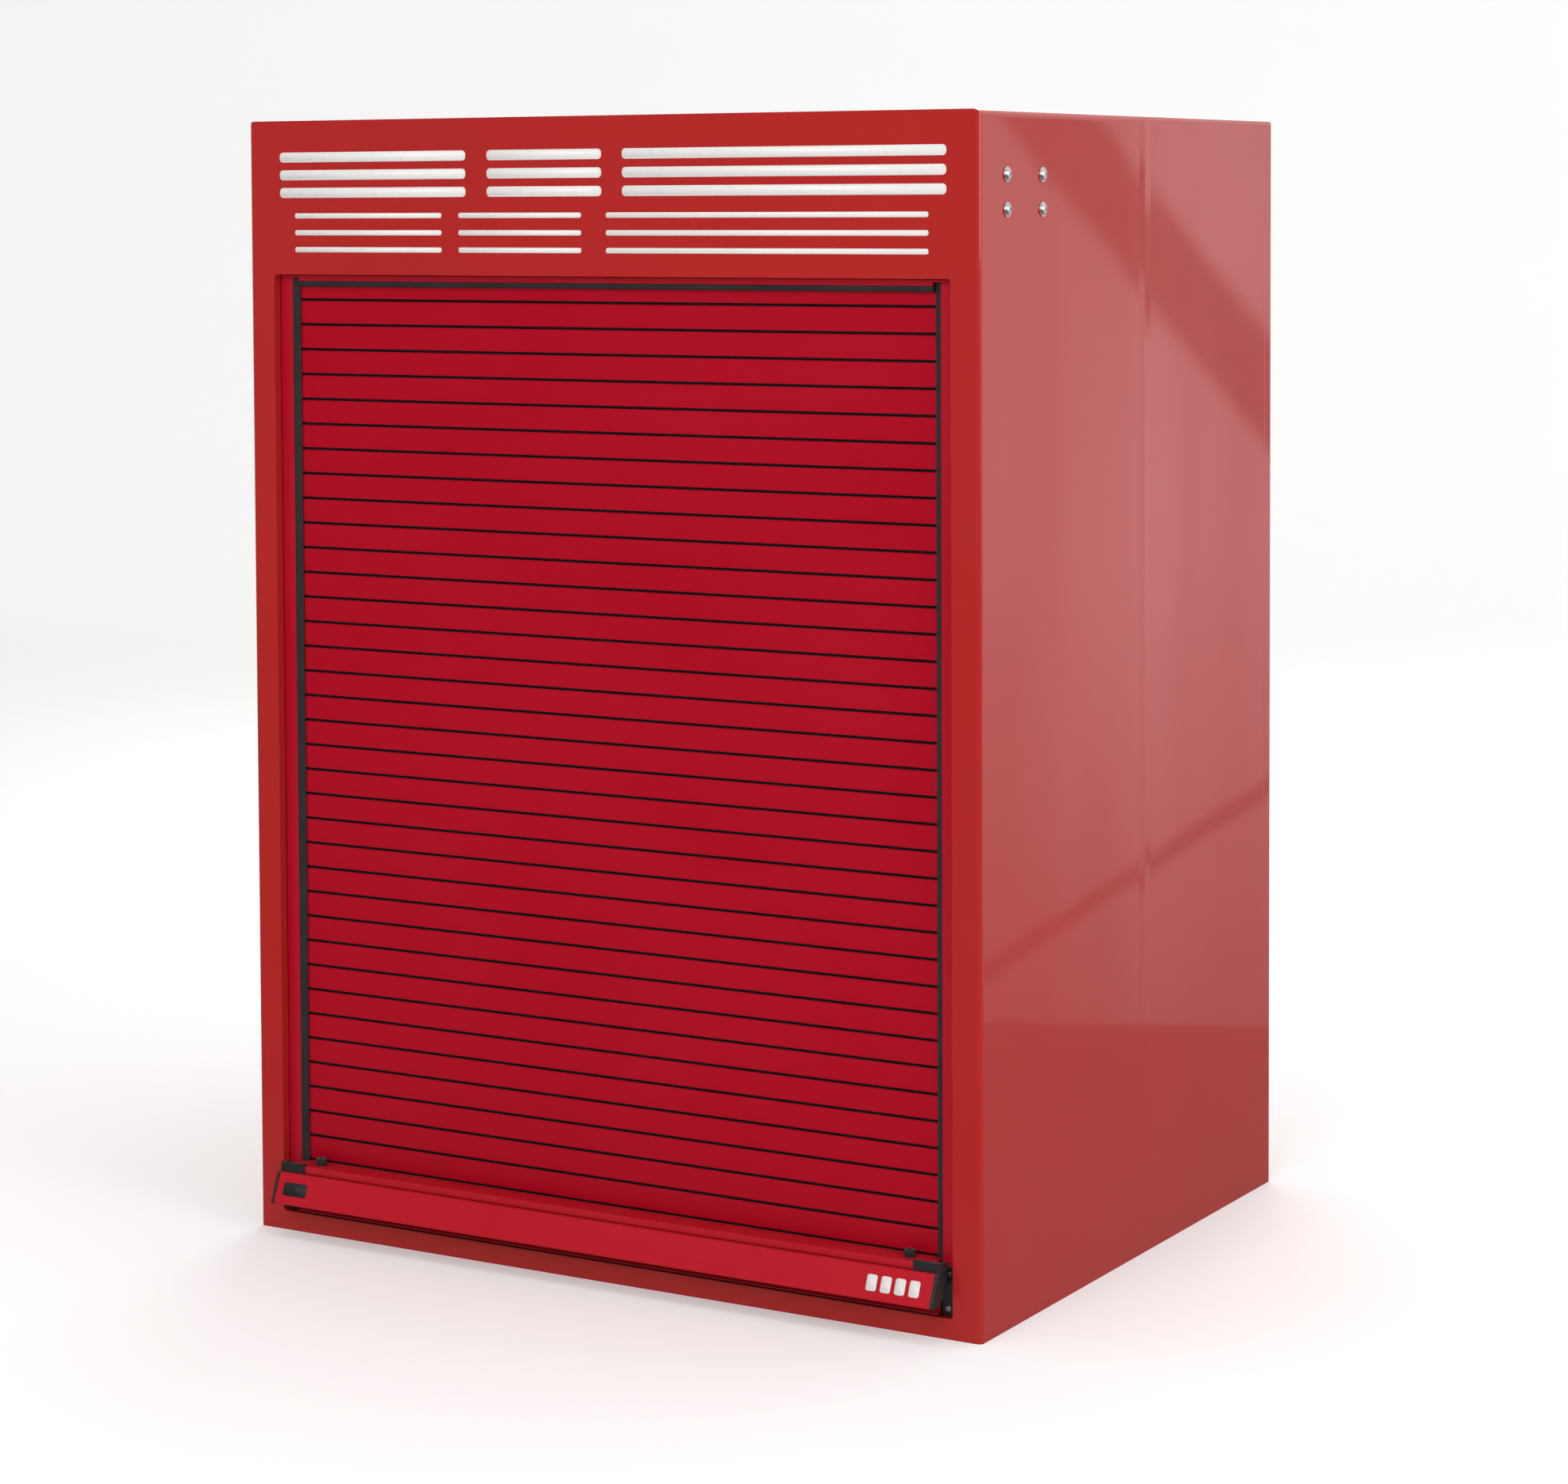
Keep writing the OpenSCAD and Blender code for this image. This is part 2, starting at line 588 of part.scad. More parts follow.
// Tube frame with plates that carry the axle behind the uprights
module trolley_frame() color(black) difference() {
    union() {
        both_sides() frame_side();
        translate([0, handle_y, handle_z]) rod_x(tube_r + 0.6, 2 * (frame_x + 120));
        for (z = [330, 700]) translate([0, frame_y, z]) rod_x(tube_r - 3, 2 * frame_x);
        translate([0, unit_y - 90, skid_z]) rod_x(tube_r - 3, 2 * frame_x);
        both_sides() translate([frame_x - 4, frame_y, axle_z - 24]) cube([8, axle_y - frame_y + 22, 48]);
    }
    translate([0, axle_y, axle_z]) rod_x(axle_r + run_gap, 400);
}

module axle() color(zinc) translate([0, axle_y, axle_z]) rod_x(axle_r, 2 * (wheel_x + tyre_w / 2 + 12));

module axle_caps() color(zinc) both_sides()
    translate([wheel_x + tyre_w / 2 + 9, axle_y, axle_z]) difference() {
        rod_x(axle_r + 7, 7);
        rod_x(axle_r + 0.02, 20);
    }

// Two steel bands round the tank, with a saddle for the frame's cross tubes
module tank_straps() color(black) for (z = [330, 700]) at_tank() translate([0, 0, z - 15]) difference() {
    union() {
        cylinder(r = tank_r + 3, h = 30, $fn = 96);
        translate([-40, tank_r - 12, 0]) cube([80, 30, 30]);
    }
    translate([0, 0, -eps]) cylinder(r = tank_r + 0.1, h = 40, $fn = 96);
    translate([0, frame_y - unit_y, 15]) rod_x(tube_r - 2.9, 100);
}

module handle_grips() color(black) both_sides()
    translate([frame_x + 75, handle_y, handle_z]) difference() {
        union() {
            rod_x(tube_r + 5, 104);
            translate([50, 0, 0]) rod_x(tube_r + 7, 6);
        }
        translate([-8, 0, 0]) rod_x(tube_r + 0.7, 110);
    }

// Solid rubber tyre with a groove on each side of its tread
module tyre() color(black) rotate([0, 90, 0]) rotate_extrude($fn = 96) difference() {
    union() {
        translate([tyre_r - 34, -tyre_w / 2]) square([24, tyre_w]);
        translate([tyre_r - 34, -tyre_w / 2 + 9]) square([34, tyre_w - 18]);
        for (s = [-1, 1]) translate([tyre_r - 10, s * (tyre_w / 2 - 10)]) circle(10, $fn = 32);
    }
    for (s = [-1, 1]) translate([tyre_r - 2.5, s * 8 - 1.5]) square([4, 3]);
}

// Pressed disc wheel with a ring of holes and a hub tube
module rim() color([0.75, 0.1, 0.1]) rotate([0, 90, 0]) difference() {
    rotate_extrude($fn = 96) union() {
        translate([tyre_r - 40, -tyre_w / 2 + 3]) square([5.9, tyre_w - 6]);
        translate([24, -3]) square([tyre_r - 62, 6]);
        translate([axle_r + run_gap, -tyre_w / 2 - 2]) square([15, tyre_w + 4]);
    }
    for (a = [0:60:300]) rotate(a) translate([78, 0, -20]) cylinder(r = 19, h = 40);
}

module tyre_right() translate([wheel_x, axle_y, axle_z]) tyre();
module tyre_left() translate([-wheel_x, axle_y, axle_z]) tyre();
module rim_right() translate([wheel_x, axle_y, axle_z]) rim();
module rim_left() translate([-wheel_x, axle_y, axle_z]) rim();

// ---------- wheeled unit: valve and gauge ----------

valve_h = 58;
gauge_z = valve_z + 30;
gauge_y = -44;              // in front of the valve's axis
pin_z = valve_z + valve_h + 6;

// Valve block with the hose outlet on the left and the gauge port in front
module valve_body() color(brass) at_tank() translate([0, 0, valve_z + 0.1]) {
    difference() {
        union() {
            cylinder(r = neck_r + 3, h = 14, $fn = 6);
            cylinder(r = 19, h = valve_h);
            translate([-32, 0, 30]) rod_x(12, 64);
            translate([-68, 0, 30]) rod_x(16, 16);
            translate([0, gauge_y + 6, 30]) rod_y(7, 30);
            translate([14, -5, valve_h - 1]) cube([4, 10, 14]);
        }
        translate([-45, 0, 30]) rod_x(7, 80);
        translate([16, 0, pin_z - valve_z]) rod_x(2 + run_gap, 10);
        translate([0, 0, valve_h - 18]) cylinder(r = 6 + run_gap, h = 30);
        translate([0, 0, -eps]) cylinder(r = 11.1, h = 12);
    }
}

// Quarter-turn lever on the spindle
module valve_lever() color(red) at_tank() translate([0, 0, valve_z + valve_h]) union() {
    translate([0, 0, -16]) cylinder(r = 6, h = 20);
    translate([0, 0, 0.6]) cylinder(r = 12, h = 9);
    translate([-9, -120, 2.5]) cube([18, 115, 5]);
    translate([0, -120, 2.5]) cylinder(r = 9, h = 5);
}

// Safety pin through the lug beside the lever's hub, with its pull ring
module safety_pin() color(zinc) at_tank() translate([0, 0, pin_z + 0.1]) union() {
    translate([21, 0, 0]) rod_x(2, 16);
    translate([29, 0, 0]) sphere(3);
    translate([42, 0, 0]) rotate([90, 0, 0]) rotate_extrude() translate([12, 0]) circle(1.6, $fn = 24);
}

module at_gauge() at_tank() translate([0, gauge_y, gauge_z + 0.1]) rotate([90, 0, 0]) children();

module gauge_case() color(zinc) at_gauge() difference() {
    translate([0, 0, -6]) cylinder(r = 26, h = 20);
    translate([0, 0, -3]) cylinder(r = 23.5, h = 30);
}
module gauge_dial() color("white") at_gauge() difference() {
    translate([0, 0, -2.9]) cylinder(r = 23.3, h = 1.5);
    translate([0, 0, -4]) cylinder(r = 1.4 + run_gap, h = 5);
}
module gauge_needle() color(black) at_gauge() union() {
    translate([0, 0, -2.7]) cylinder(r = 1.4, h = 5);
    translate([0, 0, 1]) cylinder(r = 3.4, h = 1.4);
    translate([-0.8, -6, 1]) cube([1.6, 24, 1]);
}
module gauge_glass() color([0.8, 0.9, 0.95, 0.4]) at_gauge() translate([0, 0, 9]) cylinder(r = 23.3, h = 2);

// ---------- wheeled unit: hose and branch pipe ----------

ferrule = 34;
outlet = [-76, unit_y, valve_z + 30.1];
tail = [branch_x, branch_y, branch_foot - 0.2];

// The hose leaves the valve, hangs in a coil on the left, and crosses in front of the tank to the branch pipe
function coil_point(a) = [
    -coil_x - coil_pitch * a / 360, unit_y + coil_r * sin(a), coil_z + coil_r * cos(a)
];
module hose() color(black) {
    turned = 360 * hose_turns + 180;
    start = outlet - [ferrule, 0, 0];
    coil = [for (a = [0:12:turned]) coil_point(a)];
    coil_end = coil[len(coil) - 1];
    front = [0, unit_y - tank_r - 32, 396];
    end = tail - [0, 0, ferrule];
    shares = [0:0.1:0.9];
    points = concat(
        [outlet - [0.3, 0, 0]],
        [for (s = shares) curve(start, [-170, 0, 0], coil[0], [0, 190, 0], s)],
        coil,
        [for (s = [0.1:0.1:0.9]) curve(coil_end, [0, -380, 0], front, [380, 0, 0], s)],
        [for (s = shares) curve(front, [380, 0, 0], end, [0, 0, 320], s)],
        [end, tail]
    );
    ups = concat(
        [[0, 0, -1]],
        [for (s = shares) [s, 0, s - 1]],
        [for (p = coil) [1, 0, 0]],
        [for (s = [0.1:0.1:0.9]) [1 - s, 0, s]],
        [for (s = shares) [-s, 0, 1 - s]],
        [[-1, 0, 0], [-1, 0, 0]]
    );
    sweep(points, ups, hose_r, 12);
}

// Ferrules on both ends of the hose
module hose_couplings() color(brass) {
    translate(outlet - [ferrule / 2 + 0.3, 0, 0]) difference() {
        rod_x(hose_r + 4, ferrule - 8);
        rod_x(hose_r + 0.2, ferrule);
    }
    translate(tail - [0, 0, ferrule - 6]) difference() {
        cylinder(r = hose_r + 4, h = ferrule - 6);
        translate([0, 0, -eps]) cylinder(r = hose_r + 0.2, h = ferrule);
    }
}

// Peg on the tank's upper strap that carries the coil
module hose_hanger() color(zinc) translate([0, unit_y, 0]) union() {
    peg_z = coil_z + coil_r - hose_r - 8.4;
    reach = coil_x + coil_pitch * hose_turns + 24;
    translate([-tank_r - 9.2, -20, 686]) cube([6, 40, peg_z - 686 + 14]);
    translate([-(tank_r + 6 + reach) / 2, 0, peg_z]) rod_x(8, reach - tank_r - 6);
    translate([-reach, 0, peg_z]) rod_x(15, 5);
}

// Foam branch pipe: ball valve at the tail, air holes, and a flared barrel
module branch_pipe() color(black) translate([branch_x, branch_y, branch_foot]) difference() {
    union() {
        cylinder(r = 14, h = 60);
        translate([0, 0, 50]) cylinder(r = 22, h = 44);
        translate([0, 0, 90]) cylinder(r = 17, h = 30);
        translate([0, 0, 115]) cylinder(r1 = 17, r2 = 25, h = 40);
        translate([0, 0, 155]) cylinder(r = 25, h = 230);
        translate([0, 0, 378]) cylinder(r = 28, h = 14);
    }
    translate([0, 0, -eps]) cylinder(r = 9, h = 160);
    translate([0, 0, 150]) cylinder(r = 21, h = 300);
    for (a = [45:90:315]) rotate(a) translate([0, 0, 172]) rod_y(6, 40);
    translate([0, 0, 72]) rod_y(5 + run_gap, 60);
}

module branch_lever() color(red) translate([branch_x, branch_y, branch_foot + 72]) union() {
    translate([0, 11, 0]) rod_y(5, 17);
    translate([0, 23, 0]) rod_y(10, 5);
    translate([-8, 24, -4]) cube([16, 4, 66]);
    translate([0, 24, 62]) rod_y(8, 4);
}

// Spring clips that carry the branch pipe on arms from the tank's straps
module branch_clips() color(zinc) for (z = [700, branch_foot + 18]) difference() {
    r = z > 600 ? 25 : 14;
    union() {
        translate([branch_x, branch_y, z - 8]) cylinder(r = r + 3, h = 16);
        translate([0, branch_y - 3, z - 8]) cube([branch_x - r, 6, 16]);
    }
    translate([branch_x, branch_y, z - 10]) cylinder(r = r + 0.1, h = 30);
    translate([branch_x, branch_y - 11, z - 10]) cube([60, 22, 30]);
    at_tank() translate([0, 0, z - 20]) cylinder(r = tank_r + (z > 600 ? 3.1 : 0.1), h = 60, $fn = 96);
}

// ---------- nodes ----------

front_fascia();
left_side_panel();
right_side_panel();
roof_panel();
back_panel();
floor_pan();
side_stiffeners();
floor_bearers();
guide_rail_left();
guide_rail_right();
side_seals();
header_profile();
header_seal();
latch_strikers();
striker_screws();
drum_brackets();
bracket_bolts();
bracket_nuts();
drum_shaft();
counterbalance_spring();
upper_slats();
upper_gaskets();
upper_end_caps();
curtain_straps();
drum_tube();
drum_plugs();
drum_bushes();
lower_slats();
lower_gaskets();
lower_end_caps();
bottom_rail();
bottom_seal();
bump_stops();
lift_bar();
lift_bar_end_caps();
lift_bar_pins();
tank();
dip_tube();
trolley_frame();
tank_straps();
handle_grips();
axle();
axle_caps();
tyre_left();
rim_left();
tyre_right();
rim_right();
valve_body();
valve_lever();
safety_pin();
gauge_case();
gauge_dial();
gauge_needle();
gauge_glass();
hose();
hose_couplings();
hose_hanger();
branch_pipe();
branch_lever();
branch_clips();
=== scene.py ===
"""Looks for the roller-shutter cabinet and the wheeled foam extinguisher inside it.

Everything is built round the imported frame, in metres, with +X right, +Y to the back and +Z up.
"""

import json
import math

import bmesh
import bpy
from mathutils import Matrix, Vector


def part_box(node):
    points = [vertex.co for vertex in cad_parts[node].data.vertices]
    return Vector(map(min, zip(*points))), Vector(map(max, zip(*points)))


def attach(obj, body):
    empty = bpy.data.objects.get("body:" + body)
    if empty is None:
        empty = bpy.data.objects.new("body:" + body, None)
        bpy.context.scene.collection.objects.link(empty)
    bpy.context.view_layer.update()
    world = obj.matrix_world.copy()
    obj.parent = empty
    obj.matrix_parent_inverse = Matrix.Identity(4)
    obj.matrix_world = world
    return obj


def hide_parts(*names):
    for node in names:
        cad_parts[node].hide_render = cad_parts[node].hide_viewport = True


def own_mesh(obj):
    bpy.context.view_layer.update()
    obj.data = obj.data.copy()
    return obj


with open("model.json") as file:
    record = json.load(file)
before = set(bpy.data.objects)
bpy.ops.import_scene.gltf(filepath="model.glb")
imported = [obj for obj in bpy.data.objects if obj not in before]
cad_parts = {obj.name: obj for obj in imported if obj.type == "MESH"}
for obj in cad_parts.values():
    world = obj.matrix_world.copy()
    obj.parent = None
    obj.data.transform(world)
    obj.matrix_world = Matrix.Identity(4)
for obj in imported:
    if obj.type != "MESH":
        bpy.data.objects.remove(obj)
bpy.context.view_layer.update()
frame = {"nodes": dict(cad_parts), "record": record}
NODES = frame["nodes"]

scene = bpy.context.scene
scene.view_settings.view_transform = "Standard"
scene.view_settings.look = "None"


# ---------------------------------------------------------------- materials


class Shader:
    """A small wrapper round one node material: every call adds a node and returns its output."""

    def __init__(self, name):
        self.material = bpy.data.materials.new(name)
        self.material.use_nodes = True
        self.tree = self.material.node_tree
        self.tree.nodes.clear()
        self.output = self.tree.nodes.new("ShaderNodeOutputMaterial")
        self.bsdf = self.tree.nodes.new("ShaderNodeBsdfPrincipled")
        self.tree.links.new(self.bsdf.outputs[0], self.output.inputs[0])
        self.coords = self.tree.nodes.new("ShaderNodeTexCoord").outputs["Object"]

    def put(self, socket, value):
        if isinstance(value, bpy.types.NodeSocket):
            self.tree.links.new(value, socket)
        elif isinstance(value, (tuple, list)) and len(value) == 3 and socket.type == "RGBA":
            socket.default_value = (*value, 1.0)
        else:
            socket.default_value = value

    def set(self, **inputs):
        for key, value in inputs.items():
            self.put(self.bsdf.inputs[key.replace("_", " ")], value)

    def stretch(self, scale):
        node = self.tree.nodes.new("ShaderNodeMapping")
        self.tree.links.new(self.coords, node.inputs["Vector"])
        node.inputs["Scale"].default_value = scale
        return node.outputs[0]

    def noise(self, scale, detail=3.0, rough=0.55, stretch=None, distort=0.0):
        node = self.tree.nodes.new("ShaderNodeTexNoise")
        self.put(node.inputs["Vector"], self.stretch(stretch) if stretch else self.coords)
        node.inputs["Scale"].default_value = scale
        node.inputs["Detail"].default_value = detail
        node.inputs["Roughness"].default_value = rough
        node.inputs["Distortion"].default_value = distort
        return node.outputs[0]

    def wave(self, scale, stretch, distort=0.0, direction="X"):
        node = self.tree.nodes.new("ShaderNodeTexWave")
        node.bands_direction = direction
        self.put(node.inputs["Vector"], self.stretch(stretch))
        node.inputs["Scale"].default_value = scale
        node.inputs["Distortion"].default_value = distort
        return node.outputs["Fac"]

    def cells(self, scale):
        node = self.tree.nodes.new("ShaderNodeTexVoronoi")
        self.put(node.inputs["Vector"], self.coords)
        node.inputs["Scale"].default_value = scale
        return node.outputs["Distance"]

    def remap(self, value, low, high, to_low=0.0, to_high=1.0):
        node = self.tree.nodes.new("ShaderNodeMapRange")
        self.put(node.inputs["Value"], value)
        ends = {"From Min": low, "From Max": high, "To Min": to_low, "To Max": to_high}
        for key, number in ends.items():
            node.inputs[key].default_value = number
        return node.outputs[0]

    def math(self, operation, a, b=0.5):
        node = self.tree.nodes.new("ShaderNodeMath")
        node.operation = operation
        self.put(node.inputs[0], a)
        self.put(node.inputs[1], b)
        return node.outputs[0]

    def mix(self, share, a, b):
        node = self.tree.nodes.new("ShaderNodeMix")
        node.data_type = "RGBA"
        self.put(node.inputs[0], share)
        self.put(node.inputs[6], a)
        self.put(node.inputs[7], b)
        return node.outputs[2]

    def along(self, axis):
        """Position along x (0), y (1) or z (2)."""
        node = self.tree.nodes.new("ShaderNodeSeparateXYZ")
        self.put(node.inputs[0], self.coords)
        return node.outputs[axis]

    def ridge(self, value, middle, half_width):
        """1 where value is at middle, falling to 0 at half_width from it."""
        offset = self.math("ABSOLUTE", self.math("SUBTRACT", value, middle))
        return self.remap(offset, half_width, 0.0)

    def attribute(self, name):
        node = self.tree.nodes.new("ShaderNodeAttribute")
        node.attribute_name = name
        return node.outputs["Fac"]

    def facing_up(self):
        geometry = self.tree.nodes.new("ShaderNodeNewGeometry")
        node = self.tree.nodes.new("ShaderNodeSeparateXYZ")
        self.put(node.inputs[0], geometry.outputs["Normal"])
        return node.outputs[2]

    def edges(self, radius):
        """Near 1 along sharp edges, 0 on flat faces; also returns the rounded normal."""
        bevel = self.tree.nodes.new("ShaderNodeBevel")
        bevel.samples = 6
        bevel.inputs["Radius"].default_value = radius
        geometry = self.tree.nodes.new("ShaderNodeNewGeometry")
        dot = self.tree.nodes.new("ShaderNodeVectorMath")
        dot.operation = "DOT_PRODUCT"
        self.put(dot.inputs[0], bevel.outputs[0])
        self.put(dot.inputs[1], geometry.outputs["Normal"])
        return self.remap(dot.outputs["Value"], 0.995, 0.85), bevel.outputs[0]

    def bump(self, layers, normal=None):
        """layers: (height, strength, distance) from coarse to fine."""
        for value, strength, distance in layers:
            node = self.tree.nodes.new("ShaderNodeBump")
            node.inputs["Strength"].default_value = strength
            node.inputs["Distance"].default_value = distance
            self.put(node.inputs["Height"], value)
            if normal is not None:
                self.put(node.inputs["Normal"], normal)
            normal = node.outputs[0]
        self.put(self.bsdf.inputs["Normal"], normal)
        self.put(self.bsdf.inputs["Coat Normal"], normal)


DUST = (0.42, 0.36, 0.30)
BARE_METAL = (0.6, 0.6, 0.6)
# Height in metres below which painted colours get darker towards the floor
DARKENING_TOP = 0.25


def shade(colour, factor):
    return tuple(min(1.0, c * factor) for c in colour)


def aged(shader, colour, spread, scale, dust, edge=None, edge_colour=None, edge_share=0.5):
    """Colour with cloudy variation, dust on upward faces, and worn edges where an edge mask is given."""
    cloud = shader.remap(shader.noise(scale, 4), 0.3, 0.7)
    result = shader.mix(cloud, shade(colour, 1 - spread), shade(colour, 1 + spread))
    if dust:
        level = shader.remap(shader.facing_up(), 0.6, 1.0)
        patches = shader.remap(shader.noise(scale * 5, 6, 0.65), 0.35, 0.75, 0.0, dust)
        result = shader.mix(shader.math("MULTIPLY", level, patches), result, DUST)
    if edge is not None:
        chips = shader.remap(shader.noise(45, 6, 0.7), 0.50, 0.66, 0.0, edge_share)
        result = shader.mix(shader.math("MULTIPLY", edge, chips), result, edge_colour)
    return result


def paint(name, colour, rough=0.3, coat=0.6, peel=900, peel_strength=0.10, spread=0.05, dust=0.25,
          streaks=0.0, metallic=0.0, edge_radius=0.0012, wear=0.45, gloss=0.5, waviness=0.0, crease=None,
          low_darkening_share=0.35):
    """Paint on metal: orange peel, colour that gets darker towards the floor, and worn edges.

    waviness is the depth of the sheet's waves, crease is the y of a stiffener that shows faintly through the
    panel, and the last argument is how much darker the colour gets towards the floor.
    """
    s = Shader(name)
    edge, rounded = s.edges(edge_radius)
    bare = shade(colour, 1.9) if metallic == 0 else BARE_METAL
    base = aged(s, colour, spread, 3.0, dust, edge, bare, wear)
    # Below a set height the colour gets darker towards the floor, in cloudy patches.
    near_floor = s.remap(s.along(2), DARKENING_TOP, 0.0)
    low_darkening = s.math("MULTIPLY", near_floor, s.remap(s.noise(14, 5, 0.6, (1, 1, 0.35)), 0.42, 0.75, 0.0, low_darkening_share))
    base = s.mix(low_darkening, base, shade(colour, 0.45))
    smudge = s.remap(s.noise(6, 5, 0.6, distort=0.4), 0.35, 0.7, rough * 0.8, rough * 1.25)
    layers = [(s.noise(peel, 2), peel_strength, 0.0002)]
    if waviness:
        layers.insert(0, (s.noise(2.6, 1.5, 0.5, (1, 1, 0.35)), 1.0, waviness))
    if crease is not None:
        layers.insert(0, (s.ridge(s.along(1), crease, 0.016), 1.0, 0.00016))
    if streaks:
        layers.append((s.noise(700, 2, 0.5, (0.01, 1, 1)), streaks, 0.0001))
    s.set(Base_Color=base, Roughness=smudge, Metallic=metallic, Coat_Weight=coat, Coat_Roughness=0.03,
          Specular_IOR_Level=gloss)
    s.bump(layers, rounded)
    return s.material


def plastic(name, colour, rough=0.45, grain=1600, strength=0.2, spread=0.12, dust=0.25, scuff=0.35):
    s = Shader(name)
    edge, rounded = s.edges(0.0009)
    base = aged(s, colour, spread, 12.0, dust, edge, shade(colour, 3.2), scuff)
    handled = s.remap(s.noise(35, 5, 0.6), 0.3, 0.7, rough * 0.8, rough * 1.3)
    s.set(Base_Color=base, Roughness=handled)
    s.bump([(s.noise(80, 3), 0.08, 0.0006), (s.noise(grain, 2), strength, 0.00015)], rounded)
    return s.material


def rubber(name, colour, rough=0.7, ribs=None, bloomed=0.25, gloss=0.5):
    s = Shader(name)
    base = aged(s, colour, 0.22, 18.0, 0.3)
    bloom = s.remap(s.noise(50, 6, 0.7), 0.55, 0.8, 0.0, bloomed)
    dull = s.remap(s.noise(25, 4), 0.3, 0.7, rough * 0.85, min(1.0, rough * 1.2))
    s.set(Base_Color=s.mix(bloom, base, shade(colour, 3.0)), Roughness=dull, Sheen_Weight=0.16 * gloss,
          Specular_IOR_Level=gloss)
    layers = [(s.noise(1200, 3), 0.25, 0.0002)]
    if ribs:
        layers.insert(0, (ribs(s), 0.4, 0.0004))
    s.bump(layers)
    return s.material


def metal(name, colour, rough=0.3, grain=(1, 1, 1), spots=0.3, tint=(0.35, 0.30, 0.24)):
    """Bare or plated metal: fine directional grain, cloudy plating, dull spots and brighter edges."""
    s = Shader(name)
    edge, rounded = s.edges(0.0008)
    base = aged(s, colour, 0.10, 25.0, 0.12, edge, shade(colour, 1.25), 0.8)
    stain = s.remap(s.noise(70, 7, 0.7), 0.58, 0.80, 0.0, spots)
    base = s.mix(stain, base, tint)
    brushed = s.noise(900, 3, 0.6, grain)
    polish = s.remap(brushed, 0.3, 0.7, rough * 0.75, rough * 1.2)
    s.set(Base_Color=base, Metallic=1.0, Roughness=s.math("ADD", polish, s.math("MULTIPLY", stain, 0.4)))
    s.bump([(s.noise(120, 3), 0.05, 0.0005), (brushed, 0.12, 0.0001)], rounded)
    return s.material


def webbing(name, colour):
    """Woven strap: rows along its height crossed by columns across its width."""
    s = Shader(name)
    rows = s.wave(900, (0, 0, 1), 0.3, "Z")
    columns = s.wave(700, (1, 0, 0), 0.3)
    weave = s.math("MULTIPLY", rows, columns)
    yarn = s.mix(weave, shade(colour, 0.5), shade(colour, 1.5))
    s.set(Base_Color=yarn, Roughness=0.85, Sheen_Weight=0.3)
    s.bump([(weave, 0.6, 0.0004), (s.noise(2500, 2), 0.2, 0.0002)])
    return s.material


def galvanised(name):
    """Zinc-coated sheet with spangle."""
    s = Shader(name)
    edge, rounded = s.edges(0.001)
    spangle = s.cells(55)
    tone = s.remap(spangle, 0.0, 0.9, 0.85, 1.15)
    base = s.mix(s.remap(spangle, 0.1, 0.8), (0.50, 0.52, 0.54), (0.66, 0.68, 0.70))
    dirt = s.remap(s.noise(9, 7, 0.65), 0.5, 0.75, 0.0, 0.5)
    base = s.mix(dirt, base, (0.26, 0.23, 0.20))
    dull = s.math("MULTIPLY", tone, s.remap(s.noise(30, 4), 0.3, 0.7, 0.35, 0.55))
    s.set(Base_Color=base, Metallic=0.85, Roughness=dull)
    s.bump([(s.noise(300, 3), 0.08, 0.0003)], rounded)
    return s.material


def glass(name):
    s = Shader(name)
    smear = s.remap(s.noise(60, 5, 0.6), 0.45, 0.75, 0.01, 0.12)
    s.set(Base_Color=(0.96, 0.98, 0.98), Roughness=smear, Transmission_Weight=1.0, IOR=1.49)
    s.bump([(s.noise(30, 2), 0.02, 0.0003)])
    return s.material


def knurl(s):
    return s.wave(260, (1, 0, 0))


STRANDS_ROUND = 16.0
STRANDS_PER_METRE = 420.0


def braided(name, colour):
    """Hose cover: a fine crossed braid that follows the hose by the mesh's run and round attributes."""
    s = Shader(name)
    run, turn = (s.attribute(key) for key in ("run", "round"))
    crossed = []
    for lean in (1, -1):
        turns = s.math("ADD", s.math("MULTIPLY", turn, STRANDS_ROUND),
                       s.math("MULTIPLY", run, lean * STRANDS_PER_METRE))
        crossed.append(s.math("SINE", s.math("MULTIPLY", turns, 2 * math.pi)))
    braid = s.math("MAXIMUM", *crossed)
    base = aged(s, colour, 0.2, 20.0, 0.2)
    scuffed = s.remap(s.noise(40, 6, 0.7), 0.55, 0.78, 0.0, 0.3)
    base = s.mix(scuffed, base, shade(colour, 3.2))
    s.set(Base_Color=base, Roughness=s.remap(s.noise(25, 4), 0.3, 0.7, 0.48, 0.70), Sheen_Weight=0.06)
    s.bump([(braid, 0.35, 0.0003), (s.noise(1500, 2), 0.15, 0.0001)])
    return s.material


CABINET_RED = (0.430, 0.0190, 0.0170)
CRIMSON = (0.400, 0.0022, 0.0150)
BAR_RED = (0.500, 0.0070, 0.0190)
RAIL_RED = (0.430, 0.0030, 0.0160)
stiffener_low, stiffener_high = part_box("side_stiffeners")
STIFFENER_Y = (stiffener_low.y + stiffener_high.y) / 2

